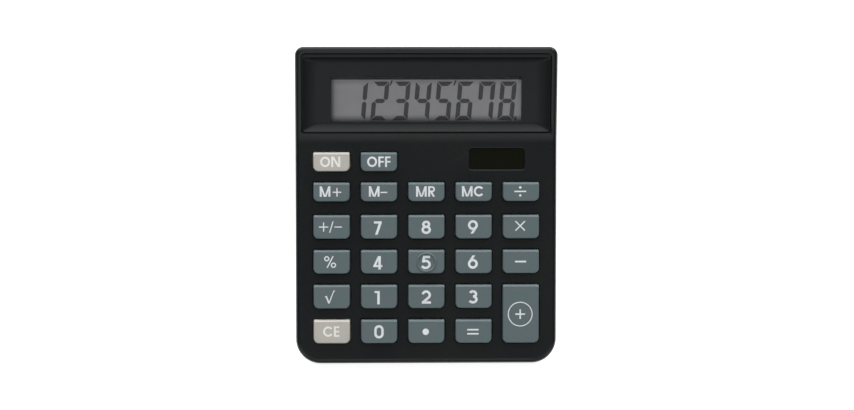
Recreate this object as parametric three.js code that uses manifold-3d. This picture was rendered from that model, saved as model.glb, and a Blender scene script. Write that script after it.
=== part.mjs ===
// Eight digit desktop calculator with solar and button cell power.
// Millimetres. +X is the user's right, +Y points to the rear edge and +Z up.
// The origin is the middle of the footprint, on the table.

import * as THREE from 'three';
import { mergeVertices } from 'three/addons/utils/BufferGeometryUtils.js';
import Module from 'manifold-3d';

const wasm = await Module();
wasm.setup();

// Shared allowances
const clearance = 0.3; // gap between separate pieces
const overrun = 1; // how far a cutter passes the face that it opens
const bond = 0.5; // how deep a rib or post is rooted in the wall that carries it

// Slopes of the two top faces
const keyboardSlope = THREE.MathUtils.degToRad(4);
const displaySlope = THREE.MathUtils.degToRad(12);

const body = {
  length: 127,
  width: 105,
  frontHeight: 10.2, // top face at the front edge
  displayDepth: 37.3, // from the rear edge to the crease, in plan
  frontCorner: 10,
  rearCorner: 3.4,
  topEdge: 1.8, // radius of the upper edge all round
  bottomEdge: 1.2,
  roof: 1.8,
  wall: 2.2,
  floor: 1.8,
  partingDepth: 5, // the seam lies this far under the keyboard face
  lipInset: 1, // outer part of the wall, which stays outside the tongue
  tongue: 1, // how far the lower housing's tongue stands above the seam
};

const foot = {
  radius: 5,
  edge: 0.5,
  proud: 1, // how far it stands out of the floor
  seat: 0.7, // depth of its recess
  inFromSide: 12.5,
  inFromFront: 15.5,
  inFromRear: 14.5,
};

const key = {
  smallerBy: 1.9, // keys of the memory and power rows are this much less deep
  proud: 2.5, // top face above the keyboard face
  frontCorner: 2,
  rearCorner: 0.5,
  draft: 0.1,
  shoulder: 0.45, // height of the bevel round the top
  bevel: 0.4, // width of the bevel at the front and the sides
  rearBevel: 0.9,
  topWall: 1.3,
  sideWall: 1.2,
  plungerRadius: 1.7,
  flange: 0.7, // how far the retaining flange stands out
  flangeThickness: 0.8,
};

// A thin raised ring that lets the finger find the middle key
const ring = {
  radius: 3.6,
  width: 0.4,
  rise: 0.15,
};

const grid = {
  sideMargin: 7.25, // from the side of the case to the outer keys
  columnGap: 4.5,
  frontMargin: 8.5, // from the front edge to the first row, along the keyboard face
  rearMargin: 4.66, // from the last row to the crease
  rowGap: 4.65,
  memoryGap: 5.6, // in front of the memory row
  powerGap: 4.6, // between the memory row and the power row
};

const keypad = {
  sideLap: 2.25, // past the outer keys
  frontLap: 1.05,
  rearLap: 0.6,
  memoryLap: 1.7, // past the memory row, where the corner is left free for the solar cell
  solarGap: 2.9, // beside the solar window
  corner: 12,
  sheet: 0.6,
  domeRise: 1.5,
  domeFoot: 3.6,
  domeHead: 2,
  skin: 0.45,
  pillRadius: 1.4,
  pillDrop: 0.55,
};

const board = {
  sideGap: 2.5, // to the walls of the lower housing
  frontGap: 4.95,
  rearGap: 1.26, // to the crease
  frontCorner: 12,
  rearCorner: 1.5,
  thickness: 1.2,
};

const boardScrew = {
  bossRadius: 1.9,
  headRadius: 1.8,
  headHeight: 1.1,
  headChamfer: 0.45,
  shankRadius: 0.75,
  play: 0.15, // between shank and hole
  bite: 2.6, // length inside the boss
};

const caseScrew = {
  headRadius: 2.1,
  headHeight: 1.3,
  headChamfer: 0.55,
  shankRadius: 1,
  play: 0.15,
  length: 5,
  wellRadius: 2.5,
  wellWall: 0.9,
  bridge: 1.4, // plastic under the head
  bossRadius: 2.2,
  frontInFromSide: 8.5,
  frontInFromEdge: 5.1,
  frontPost: 4, // top of the lower post above the table
  rearInFromSide: 5.3,
  rearInFromEdge: 5.2,
  rearPost: 11,
};

const bezel = {
  sideMargin: 2.9, // from the side of the case
  frontMargin: 3, // from the crease, along the display face
  rearMargin: 2.93,
  corner: 1,
  groove: 0.45,
  rim: 0.4,
  scoopSide: 6,
  scoopFront: 2.8,
  scoopRear: 2,
  depth: 2,
  thickness: 1.2,
  seat: 1.2, // width of the ledge under its edge
  ledge: 2, // thickness of that ledge
};

const display = {
  sideMargin: 11.4, // from the bezel's outline to its opening
  frontMargin: 4.15,
  rearMargin: 9.45,
  corner: 0.8,
  sideLap: 1.8, // how far the lens and the glass pass the opening
  frontLap: 0.75,
  rearLap: 2.45,
  lens: 0.8,
  plate: 1, // the glass is two plates thick
  contactLedge: 2.3, // the lower plate stands back this far at the front
  reflector: 0.3,
  reflectorInset: 2.6,
};

const holder = {
  wall: 1.5,
  lip: 1,
  windowInset: 4,
};

const ribbon = {
  leftInset: 7, // from the left side of the glass
  rightInset: 23,
  thickness: 0.2,
  onGlass: 2,
  onBoard: 2,
  sag: 0.5,
};

const solar = {
  windowWidth: 21.8,
  windowHeight: 8.4,
  fromSide: 24.1, // from the side of the case to the middle of the window
  fromCrease: 7.3,
  corner: 0.6,
  sunk: 0.4,
  windowThickness: 1,
  ledge: 1.2,
  ledgeThickness: 0.9,
  rimWall: 1.4,
  cellThickness: 1.1,
};

const lead = {
  radius: 0.35,
  run: 3, // under the cell
  loopLength: 3,
  loopWidth: 2.6,
  rise: 0.45,
  pitch: 9, // from one lead to the other
};

const chip = {
  radius: 6,
  height: 1.6,
  x: 2,
  fromRear: 19, // from the rear edge of the board
};

const capacitor = {
  radius: 2.2,
  length: 6.5,
  crimp: 0.25,
  crimpWidth: 1,
  crimpFromEnd: 1.3,
  x: 18,
  fromRear: 8,
};

const resistor = {
  radius: 0.9,
  waist: 0.65,
  length: 4,
  cap: 0.6,
  shoulder: 0.3,
  x: 30,
  fromRear: 8,
};

const cell = {
  radius: 5.8,
  height: 3.05,
  chamfer: 0.4,
  capRadius: 4.6,
  capRise: 0.25,
  fromSide: 29.5,
  fromScrew: 12.3, // behind the rear board screws
};

const battery = {
  coverWidth: 27,
  coverDepth: 17,
  coverCorner: 2,
  coverThickness: 1.3,
  cellFromMiddle: 5,
  screwFromMiddle: 9.5,
  padRise: 1.2, // local thickness above the cover recess
  padMargin: 2,
  play: 0.35, // round the cell
  cupWall: 1.2,
  cupHeight: 3.6,
  slot: 5,
  bossRadius: 2.4,
  bossHeight: 4,
};

const coverScrew = {
  headRadius: 1.7,
  headHeight: 0.8,
  headChamfer: 0.3,
  shankRadius: 0.8,
  play: 0.15,
  length: 3.4,
};

const contact = {
  thickness: 0.3,
  width: 3.6,
  pad: 2.4, // length soldered to the board
  spring: 5.5, // length of the sprung leaf
  overlap: 3,
};

const rib = {
  thickness: 0.9,
  keyDepth: 4.4, // bottom edge under the keyboard face
  floorRise: 4,
};

// Numbers of facets
const cornerSteps = 6;
const smallCornerSteps = 4;
const edgeSteps = 3;
const keyFrontSteps = 3;
const keyRearSteps = 1;
const plateSteps = 2;
const roundSides = 12;
const cellSides = 18;
const domeSides = 8;
const wireSides = 6;
const wireSteps = 9;

// Heights and faces worked out from the sizes above
const halfLength = body.length / 2;
const halfWidth = body.width / 2;
const creaseY = halfLength - body.displayDepth;
const keyboardTop = (y) => body.frontHeight + (y + halfLength) * Math.tan(keyboardSlope);
const displayTop = (y) => keyboardTop(creaseY) + (y - creaseY) * Math.tan(displaySlope);
const topFace = (y) => Math.max(keyboardTop(y), displayTop(y));
const roofFace = (y) => Math.max(
  keyboardTop(y) - body.roof / Math.cos(keyboardSlope),
  displayTop(y) - body.roof / Math.cos(displaySlope),
);
const seam = (y) => keyboardTop(y) - body.partingDepth / Math.cos(keyboardSlope);
const baseZ = foot.proud;
const floorZ = baseZ + body.floor;

// Places along the keyboard face, measured from its middle
const frontEdge = -halfLength / Math.cos(keyboardSlope);
const crease = creaseY / Math.cos(keyboardSlope);
const boardFront = frontEdge + body.wall + board.frontGap;
const boardRear = crease - board.rearGap;
const boardWidth = body.width - 2 * (body.wall + board.sideGap);

// Places along the display face, measured from the crease
const bezelFace = {
  width: body.width - 2 * bezel.sideMargin,
  front: bezel.frontMargin,
  rear: body.displayDepth / Math.cos(displaySlope) - bezel.rearMargin,
};
const opening = {
  width: bezelFace.width - 2 * display.sideMargin,
  front: bezelFace.front + display.frontMargin,
  rear: bezelFace.rear - display.rearMargin,
};
const pane = {
  width: opening.width + 2 * display.sideLap,
  front: opening.front - display.frontLap,
  rear: opening.rear + display.rearLap,
};

// The stack under the keyboard face, measured down from it
const flangeTop = -body.roof - clearance;
const flangeBottom = flangeTop - key.flangeThickness;
const domeTop = flangeBottom - clearance;
const sheetTop = domeTop - keypad.domeRise;
const sheetBottom = sheetTop - keypad.sheet;
const boardTop = sheetBottom - clearance;
const boardBottom = boardTop - board.thickness;

// The stack under the display face
const panTop = -bezel.depth;
const panBottom = panTop - bezel.thickness;
const seatTop = panBottom - clearance;
const seatBottom = seatTop - bezel.ledge;
const lensTop = seatTop;
const lensBottom = lensTop - display.lens;
const glassTop = lensBottom - clearance;
const glassMiddle = glassTop - display.plate;
const glassBottom = glassMiddle - display.plate;
const reflectorTop = glassBottom - clearance;
const reflectorBottom = reflectorTop - display.reflector;
const lipTop = reflectorBottom - clearance;
const holderBottom = lipTop - holder.lip;

// Columns of the key field, with the keys sharing the width that the gaps leave
const columnShares = [-2, -1, 0, 1, 2];
const columnCount = columnShares.length;
const keyWidth = (body.width - 2 * grid.sideMargin - (columnCount - 1) * grid.columnGap) / columnCount;
const columnPitch = keyWidth + grid.columnGap;
const columns = columnShares.map((column) => column * columnPitch);
const gapColumns = [-1.5, -0.5, 0.5, 1.5].map((column) => column * columnPitch);

// Rows from front to rear, with the keys sharing the depth that the gaps leave
const rowPlan = [
  { gap: grid.frontMargin, less: 0 },
  { gap: grid.rowGap, less: 0 },
  { gap: grid.rowGap, less: 0 },
  { gap: grid.rowGap, less: 0 },
  { gap: grid.memoryGap, less: key.smallerBy },
  { gap: grid.powerGap, less: key.smallerBy },
];
const rowRoom = rowPlan.reduce(
  (room, { gap, less }) => room - gap + less,
  crease - grid.rearMargin - frontEdge,
);
const keyHeight = rowRoom / rowPlan.length;
let rowEdge = frontEdge;
const rows = rowPlan.map(({ gap, less }) => {
  const front = rowEdge + gap;
  rowEdge = front + keyHeight - less;
  return { y: (front + rowEdge) / 2, height: keyHeight - less, front, rear: rowEdge };
});
const memoryRow = rows[4];
const powerRow = rows[5];

const keyNames = [
  ['key_ce', 'key_0', 'key_point', 'key_equals', null],
  ['key_root', 'key_1', 'key_2', 'key_3', null],
  ['key_percent', 'key_4', 'key_5', 'key_6', 'key_minus'],
  ['key_sign', 'key_7', 'key_8', 'key_9', 'key_multiply'],
  ['key_m_plus', 'key_m_minus', 'key_mr', 'key_mc', 'key_divide'],
  ['key_on', 'key_off', null, null, null],
];

const keys = keyNames.flatMap((names, row) => names
  .map((name, column) => ({ name, x: columns[column], y: rows[row].y, height: rows[row].height }))
  .filter(({ name }) => name));
keys.push({
  name: 'key_plus',
  x: columns[4],
  y: (rows[0].front + rows[1].rear) / 2,
  height: rows[1].rear - rows[0].front,
});

// Places of the board screws, where four keys leave room
const behindRow = (row) => (rows[row].rear + rows[row + 1].front) / 2;
const boardScrewPlaces = [
  { name: 'board_screw_front_left', x: gapColumns[0], y: behindRow(1) },
  { name: 'board_screw_front_right', x: gapColumns[3], y: behindRow(1) },
  { name: 'board_screw_rear_left', x: gapColumns[0], y: behindRow(3) },
  { name: 'board_screw_rear_right', x: gapColumns[3], y: behindRow(3) },
];

const frontScrewX = halfWidth - caseScrew.frontInFromSide;
const frontScrewY = caseScrew.frontInFromEdge - halfLength;
const rearScrewX = halfWidth - caseScrew.rearInFromSide;
const rearScrewY = halfLength - caseScrew.rearInFromEdge;
const caseScrewPlaces = [
  { name: 'case_screw_front_left', x: -frontScrewX, y: frontScrewY, top: caseScrew.frontPost },
  { name: 'case_screw_front_right', x: frontScrewX, y: frontScrewY, top: caseScrew.frontPost },
  { name: 'case_screw_rear_left', x: -rearScrewX, y: rearScrewY, top: caseScrew.rearPost },
  { name: 'case_screw_rear_right', x: rearScrewX, y: rearScrewY, top: caseScrew.rearPost },
];

const footX = halfWidth - foot.inFromSide;
const footPlaces = [
  { name: 'foot_front_left', x: -footX, y: foot.inFromFront - halfLength },
  { name: 'foot_front_right', x: footX, y: foot.inFromFront - halfLength },
  { name: 'foot_rear_left', x: -footX, y: halfLength - foot.inFromRear },
  { name: 'foot_rear_right', x: footX, y: halfLength - foot.inFromRear },
];

const cellX = cell.fromSide - halfWidth;
const cellY = behindRow(3) * Math.cos(keyboardSlope) + cell.fromScrew;
const coverX = cellX + battery.cellFromMiddle;
const coverScrewX = coverX + battery.screwFromMiddle;
const coverBottom = baseZ;
const coverTop = coverBottom + battery.coverThickness;
const recessTop = coverTop + clearance;
const cellBottom = recessTop;
const cellTop = cellBottom + cell.height;
const coverSink = coverScrew.headHeight + coverScrew.play;

const solarX = halfWidth - solar.fromSide;
const solarY = (creaseY - solar.fromCrease) / Math.cos(keyboardSlope);
const solarFront = solarY - solar.windowHeight / 2;
const solarRear = solarY + solar.windowHeight / 2;
const ribbonX = (ribbon.leftInset - ribbon.rightInset) / 2;
const ribbonWidth = pane.width - ribbon.leftInset - ribbon.rightInset;

// Frames that lie on the two sloped faces: x across, y up the slope, z out of the face
const keyboardFrame = new THREE.Group();
keyboardFrame.position.z = keyboardTop(0);
keyboardFrame.rotation.x = keyboardSlope;
keyboardFrame.updateMatrix();

const displayFrame = new THREE.Group();
displayFrame.position.set(0, creaseY, keyboardTop(creaseY));
displayFrame.rotation.x = displaySlope;
displayFrame.updateMatrix();

const onKeyboard = (geometry) => geometry.applyMatrix4(keyboardFrame.matrix);
const onDisplay = (geometry) => geometry.applyMatrix4(displayFrame.matrix);
const keyboardPoint = (x, y, z) => new THREE.Vector3(x, y, z).applyMatrix4(keyboardFrame.matrix);
const displayPoint = (x, y, z) => new THREE.Vector3(x, y, z).applyMatrix4(displayFrame.matrix);

// Solids from geometries, and back
function toSolid(geometry) {
  const bare = geometry.clone();
  bare.deleteAttribute('normal');
  bare.deleteAttribute('uv');
  const merged = mergeVertices(bare);
  const corners = Array.from(merged.index.array);
  const triangles = corners.map((_, i) => i).filter((i) => i % 3 === 0)
    .map((i) => corners.slice(i, i + 3))
    .filter(([a, b, c]) => a !== b && b !== c && c !== a);
  const mesh = new wasm.Mesh({
    numProp: 3,
    vertProperties: Float32Array.from(merged.attributes.position.array),
    triVerts: Uint32Array.from(triangles.flat()),
  });
  return new wasm.Manifold(mesh);
}

function toGeometry(solid) {
  const mesh = solid.getMesh();
  const geometry = new THREE.BufferGeometry();
  geometry.setAttribute('position', new THREE.BufferAttribute(mesh.vertProperties, 3));
  geometry.setIndex(Array.from(mesh.triVerts));
  const faceted = geometry.toNonIndexed();
  faceted.computeVertexNormals();
  return faceted;
}

const join = (solids) => solids.reduce((sum, solid) => sum.add(solid));
const cut = (base, tools) => tools.reduce((rest, tool) => rest.subtract(tool), base);

// A rounded outline as its right half, from front to rear, and the mirror image back to the front
function outline({
  width,
  front,
  rear,
  frontCorner,
  rearCorner = frontCorner,
  inset = 0,
  steps = plateSteps,
  rearSteps = steps,
  stops = [],
}) {
  const arc = (centreX, centreY, radius, from, count) => Array.from({ length: count + 1 }, (_, i) => {
    const angle = from + (i / count) * (Math.PI / 2);
    return new THREE.Vector2(centreX + radius * Math.cos(angle), centreY + radius * Math.sin(angle));
  });
  const frontRadius = frontCorner - inset;
  const rearRadius = rearCorner - inset;
  const half = width / 2;
  const right = [
    ...arc(half - frontCorner, front + frontCorner, frontRadius, -Math.PI / 2, steps),
    ...stops.map((y) => new THREE.Vector2(half - inset, y)),
    ...arc(half - rearCorner, rear - rearCorner, rearRadius, 0, rearSteps),
  ];
  const left = right.map((p) => new THREE.Vector2(-p.x, p.y)).reverse();
  return [...right, ...left];
}

const raise = (points, height) => points.map((p) => new THREE.Vector3(
  p.x,
  p.y,
  typeof height === 'function' ? height(p.y) : height,
));

// A closed skin through rings of mirrored points, with its ends closed by strips across x
function loft(rings) {
  const count = rings[0].length;
  const index = [];
  const quad = (a, b, c, d) => index.push(a, b, c, a, c, d);
  for (let level = 1; level < rings.length; level += 1) {
    const low = (level - 1) * count;
    const high = level * count;
    for (let i = 0; i < count; i += 1) {
      const next = (i + 1) % count;
      quad(low + i, low + next, high + next, high + i);
    }
  }
  const last = (rings.length - 1) * count;
  for (let i = 0; i < count / 2 - 1; i += 1) {
    const mirror = count - 1 - i;
    quad(mirror, mirror - 1, i + 1, i);
    quad(last + i, last + i + 1, last + mirror - 1, last + mirror);
  }
  const geometry = new THREE.BufferGeometry().setFromPoints(rings.flat());
  geometry.setIndex(index);
  geometry.computeVertexNormals();
  return geometry;
}

const slab = (shape, bottom, top) => loft([raise(outline(shape), bottom), raise(outline(shape), top)]);

function block(x, y, width, depth, bottom, top) {
  return new THREE.BoxGeometry(width, depth, top - bottom).translate(x, y, (bottom + top) / 2);
}

function post(x, y, radius, bottom, top, sides = roundSides) {
  return new THREE.CylinderGeometry(radius, radius, top - bottom, sides)
    .rotateX(Math.PI / 2)
    .translate(x, y, (bottom + top) / 2);
}

// A solid of revolution about z from [radius, height] pairs that start and end on the axis
function turn(profile, sides = roundSides) {
  const points = profile.map(([radius, height]) => new THREE.Vector2(radius, height));
  return new THREE.LatheGeometry(points, sides).rotateX(Math.PI / 2);
}

// A bent strip of sheet: a centre line in the y-z plane, thickened, and extruded across x
function strip(line, thickness, width) {
  const offset = (side) => line.map((point, i) => {
    const before = line[Math.max(i - 1, 0)];
    const after = line[Math.min(i + 1, line.length - 1)];
    const normal = after.clone().sub(before).normalize().rotateAround(new THREE.Vector2(), Math.PI / 2);
    return point.clone().addScaledVector(normal, side * thickness / 2);
  });
  const shape = new THREE.Shape([...offset(-1), ...offset(1).reverse()]);
  return new THREE.ExtrudeGeometry(shape, { depth: width, bevelEnabled: false })
    .translate(0, 0, -width / 2)
    .rotateX(Math.PI / 2)
    .rotateZ(Math.PI / 2);
}

function wire(points, radius) {
  const path = new THREE.CatmullRomCurve3(points);
  const section = new THREE.Shape().absarc(0, 0, radius, 0, 2 * Math.PI);
  return new THREE.ExtrudeGeometry(section, {
    extrudePath: path,
    steps: wireSteps,
    curveSegments: wireSides / 2,
    bevelEnabled: false,
  });
}

// Outline of the whole case, drawn in by an inset
const caseOutline = (inset) => outline({
  width: body.width,
  front: -halfLength,
  rear: halfLength,
  frontCorner: body.frontCorner,
  rearCorner: body.rearCorner,
  inset,
  steps: cornerSteps,
  rearSteps: smallCornerSteps,
  stops: [creaseY],
});

const mound = (levels) => toSolid(
  loft(levels.map(({ inset, height }) => raise(caseOutline(inset), height))),
);

// Rings of a rounded edge, from the wall to the face
const roundedEdge = (radius, face, side) => Array.from({ length: edgeSteps + 1 }, (_, i) => {
  const angle = (i / edgeSteps) * (Math.PI / 2);
  const drop = radius * (1 - Math.sin(angle));
  return { inset: radius * (1 - Math.cos(angle)), height: (y) => face(y) - side * drop };
});

const keyOutline = ({ height, spread = 0, frontSpread = spread, rearSpread = spread }) => outline({
  width: keyWidth + 2 * spread,
  front: -height / 2 - frontSpread,
  rear: height / 2 + rearSpread,
  frontCorner: key.frontCorner + spread,
  rearCorner: key.rearCorner + Math.max(spread, 0),
  steps: keyFrontSteps,
  rearSteps: keyRearSteps,
});

const bezelOutline = (side, front = side, rear = side) => outline({
  width: bezelFace.width - 2 * side,
  front: bezelFace.front + front,
  rear: bezelFace.rear - rear,
  frontCorner: bezel.corner,
});

// A plate with small round corners, from the place of a piece and a margin round it
const plate = ({ width, front, rear }, margin, corner, bottom, top) => slab({
  width: width + 2 * margin,
  front: front - margin,
  rear: rear + margin,
  frontCorner: corner,
}, bottom, top);

const solarPlace = { width: solar.windowWidth, front: solarFront, rear: solarRear };
const solarSheet = (margin, bottom, top) => plate(solarPlace, margin, solar.corner, bottom, top)
  .translate(solarX, 0, 0);

const coverPlace = {
  width: battery.coverWidth,
  front: cellY - battery.coverDepth / 2,
  rear: cellY + battery.coverDepth / 2,
};
const coverPlate = (margin, bottom, top) => plate(coverPlace, margin, battery.coverCorner, bottom, top)
  .translate(coverX, 0, 0);

// The upper housing's skin before anything is cut: two slopes with a rounded edge all round
const upperSkin = () => mound([
  { inset: 0, height: seam },
  ...roundedEdge(body.topEdge, topFace, 1),
]);

const upperCavity = () => mound([
  { inset: body.wall, height: (y) => seam(y) - overrun },
  { inset: body.wall, height: roofFace },
]);

// The step inside the upper housing's lip, where the lower housing's tongue fits
function tongueRoom() {
  const levels = (inset, reach) => mound([
    { inset, height: (y) => seam(y) - overrun - reach },
    { inset, height: (y) => seam(y) + body.tongue + clearance + reach },
  ]);
  return cut(levels(body.lipInset, 0), [levels(body.wall + clearance, overrun)]);
}

// The frame under the display field, whose ledge carries the bezel
function bezelFrame() {
  const front = bezelFace.front - bezel.groove - body.roof;
  const depth = bezelFace.rear - front + body.wall;
  return toSolid(onDisplay(block(
    0,
    front + depth / 2,
    body.width - body.wall,
    depth,
    seatBottom,
    -body.roof + bond,
  )));
}

const bezelCutter = (margin, corner, bottom) => toSolid(onDisplay(
  plate(bezelFace, margin, corner, bottom, overrun),
));

function keyHole({ x, y, height }) {
  const edge = keyOutline({ height, spread: key.draft + clearance });
  return toSolid(onKeyboard(loft([
    raise(edge, -body.roof - overrun),
    raise(edge, overrun),
  ]).translate(x, y, 0)));
}

// The solar window's pocket: a rim to add, then a recess and a hole to cut
function solarPocket() {
  const solid = (margin, bottom, top) => toSolid(onKeyboard(solarSheet(margin, bottom, top)));
  const seat = -solar.sunk - solar.windowThickness - clearance;
  const ledge = seat - solar.ledgeThickness;
  return {
    rim: solid(solar.rimWall, ledge, -body.roof + bond),
    cutters: [solid(0, seat, overrun), solid(-solar.ledge, ledge - overrun, overrun)],
  };
}

// A rib under the key field, between two columns of keys
function keyRib(x) {
  const front = rows[0].front;
  const rear = x > solarX - solar.windowWidth / 2 ? memoryRow.rear : powerRow.rear;
  return toSolid(onKeyboard(block(
    x,
    (front + rear) / 2,
    rib.thickness,
    rear - front,
    -rib.keyDepth,
    -body.roof + bond,
  )));
}

const boardBoss = ({ x, y }) => toSolid(onKeyboard(
  post(x, y, boardScrew.bossRadius, boardTop + clearance, -body.roof + bond),
));

const boardPilot = ({ x, y }) => toSolid(onKeyboard(post(
  x,
  y,
  boardScrew.shankRadius + boardScrew.play,
  boardTop + clearance - overrun,
  boardTop + clearance + boardScrew.bite + boardScrew.play,
)));

const caseBoss = ({ x, y, top }) => toSolid(
  post(x, y, caseScrew.bossRadius, top + clearance, topFace(y) - body.roof / 2),
);

const casePilot = ({ x, y, top }) => toSolid(post(
  x,
  y,
  caseScrew.shankRadius + caseScrew.play,
  top + clearance - overrun,
  top - caseScrew.bridge + caseScrew.length + caseScrew.play + clearance,
));

// Two webs that tie a rear screw boss to the side wall and to the rear wall
function rearGussets(side) {
  const bottom = seam(halfLength) + body.tongue + clearance;
  const top = topFace(rearScrewY) - body.roof;
  return [
    toSolid(block(
      side * (rearScrewX + caseScrew.rearInFromSide / 2),
      rearScrewY,
      caseScrew.rearInFromSide - body.wall / 2,
      rib.thickness,
      bottom,
      top,
    )),
    toSolid(block(
      side * rearScrewX,
      rearScrewY + caseScrew.rearInFromEdge / 2,
      rib.thickness,
      caseScrew.rearInFromEdge - body.wall / 2,
      bottom,
      top,
    )),
  ];
}

// The upper housing: a shell with key holes, display frame, solar pocket, ribs and screw bosses
function topHousing() {
  const skin = upperSkin();
  const displayHole = bezelCutter(-bezel.seat, bezel.corner, seatBottom - overrun);
  const shell = cut(skin, [upperCavity(), displayHole]);
  const frame = cut(bezelFrame().intersect(skin), [displayHole]);
  const webs = [-1, 1].flatMap(rearGussets).map((web) => web.intersect(skin));
  const carried = cut(join([...caseScrewPlaces.map(caseBoss), ...webs]), [
    bezelCutter(-bezel.seat, bezel.corner, seatTop),
  ]);
  const pocket = solarPocket();
  const solid = join([
    shell,
    frame,
    carried,
    pocket.rim,
    ...gapColumns.map(keyRib),
    ...boardScrewPlaces.map(boardBoss),
  ]);
  return toGeometry(cut(solid, [
    tongueRoom(),
    bezelCutter(bezel.groove, bezel.corner + bezel.groove, seatTop),
    ...pocket.cutters,
    ...keys.map(keyHole),
    ...boardScrewPlaces.map(boardPilot),
    ...caseScrewPlaces.map(casePilot),
  ]));
}

// The lower housing's outer form, up to the seam and with the tongue that stands above it
function lowerForm() {
  const flatBase = () => baseZ;
  const tub = mound([
    ...roundedEdge(body.bottomEdge, flatBase, -1).reverse(),
    { inset: 0, height: (y) => seam(y) - clearance },
  ]);
  const tongue = mound([
    { inset: body.lipInset + clearance, height: () => baseZ + body.floor / 2 },
    { inset: body.lipInset + clearance, height: (y) => seam(y) + body.tongue },
  ]);
  return join([tub, tongue]);
}

const lowerCavity = () => mound([
  { inset: body.wall, height: () => floorZ },
  { inset: body.wall, height: (y) => seam(y) + body.tongue + overrun },
]);

const screwPost = ({ x, y, top }) => toSolid(
  post(x, y, caseScrew.wellRadius + caseScrew.wellWall, baseZ + body.floor / 2, top),
);

const screwWell = ({ x, y, top }) => toSolid(
  post(x, y, caseScrew.wellRadius, baseZ - overrun, top - caseScrew.bridge),
);

const screwHole = ({ x, y, top }) => toSolid(
  post(x, y, caseScrew.shankRadius + caseScrew.play, baseZ - overrun, top + overrun),
);

const footSeat = ({ x, y }) => toSolid(
  post(x, y, foot.radius + clearance, baseZ - overrun, baseZ + foot.seat),
);

// A rib across the floor that carries the board
function boardRib(y) {
  const front = keyboardPoint(0, y, boardBottom - clearance);
  return toSolid(block(
    0,
    front.y,
    boardWidth - 2 * board.frontCorner,
    rib.thickness,
    floorZ - bond,
    front.z - rib.thickness * Math.tan(keyboardSlope),
  ));
}

// A rib that runs back along the floor under the display
function rearRib(x) {
  const front = creaseY + body.wall;
  const rear = halfLength - body.wall / 2;
  return toSolid(block(
    x,
    (front + rear) / 2,
    rib.thickness,
    rear - front,
    floorZ - bond,
    floorZ + rib.floorRise,
  ));
}

// The cell's cup over the recess of the battery cover: solids to add, then cutters
function cellCup() {
  const cupTop = recessTop + battery.cupHeight;
  const holeRadius = cell.radius + battery.play;
  const cupRadius = holeRadius + battery.cupWall;
  const bossTop = recessTop + battery.bossHeight;
  const pilotRadius = coverScrew.shankRadius + coverScrew.play;
  const pilotTop = coverBottom + coverSink + coverScrew.length + clearance;
  const slot = block(
    cellX - holeRadius - battery.cupWall / 2,
    cellY,
    battery.cupWall * 2,
    battery.slot,
    recessTop + battery.padRise,
    cupTop + overrun,
  );
  return {
    added: [
      coverPlate(battery.padMargin, floorZ - bond, recessTop + battery.padRise),
      post(cellX, cellY, cupRadius, recessTop, cupTop, cellSides),
      post(coverScrewX, cellY, battery.bossRadius, recessTop, bossTop),
    ].map(toSolid),
    cutters: [
      coverPlate(0, baseZ - overrun, recessTop),
      post(cellX, cellY, holeRadius, baseZ, cupTop + overrun, cellSides),
      slot,
      post(coverScrewX, cellY, pilotRadius, recessTop - overrun, pilotTop, domeSides),
    ].map(toSolid),
  };
}

// The lower housing: a tray with its tongue, floor, ribs, screw wells, foot recesses and cell cup
function bottomHousing() {
  const form = lowerForm();
  const cup = cellCup();
  const solid = join([
    cut(form, [lowerCavity()]),
    ...caseScrewPlaces.map((place) => screwPost(place).intersect(form)),
    ...[behindRow(0), behindRow(2)].map(boardRib),
    ...[gapColumns[1], gapColumns[2]].map(rearRib),
    ...cup.added,
  ]);
  return toGeometry(cut(solid, [
    ...caseScrewPlaces.map(screwWell),
    ...caseScrewPlaces.map(screwHole),
    ...footPlaces.map(footSeat),
    ...cup.cutters,
  ]));
}

// The display bezel: a scooped frame with an opening for the display
function displayBezel() {
  const scoopShares = [0.12, 0.3, 0.58, 1];
  const scoop = (share) => raise(bezelOutline(
    bezel.rim + bezel.scoopSide * share,
    bezel.rim + bezel.scoopFront * share,
    bezel.rim + bezel.scoopRear * share,
  ), -bezel.depth * (1 - (1 - share) ** 2));
  const skin = loft([
    raise(bezelOutline(0), panBottom),
    raise(bezelOutline(0), 0),
    raise(bezelOutline(bezel.rim), 0),
    ...scoopShares.map(scoop),
  ]);
  const hole = plate(opening, 0, display.corner, panBottom - overrun, panTop + overrun);
  return toGeometry(cut(toSolid(skin), [toSolid(hole)]));
}

const displayPlate = (margin, bottom, top) => plate(pane, margin, display.corner, bottom, top);

// Two plates of glass, the lower one set back at the front to leave the contact ledge free
function lcdGlass() {
  const plates = toSolid(displayPlate(0, glassBottom, glassTop));
  const ledge = toSolid(block(
    0,
    pane.front,
    pane.width + overrun,
    2 * display.contactLedge,
    glassBottom - overrun,
    glassMiddle,
  ));
  return toGeometry(cut(plates, [ledge]));
}

// A tray under the bezel that holds the lens and the display glass
function lcdHolder() {
  const frame = toSolid(displayPlate(holder.wall + clearance, holderBottom, lensTop));
  const pocket = toSolid(displayPlate(clearance, lipTop, lensTop + overrun));
  const window = toSolid(displayPlate(-holder.windowInset, holderBottom - overrun, lipTop + overrun));
  const notch = toSolid(block(
    ribbonX,
    pane.front - holder.wall,
    ribbonWidth + 2 * clearance,
    2 * (holder.wall + holder.windowInset),
    holderBottom - overrun,
    glassMiddle,
  ));
  return toGeometry(cut(frame, [pocket, window, notch]));
}

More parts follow.
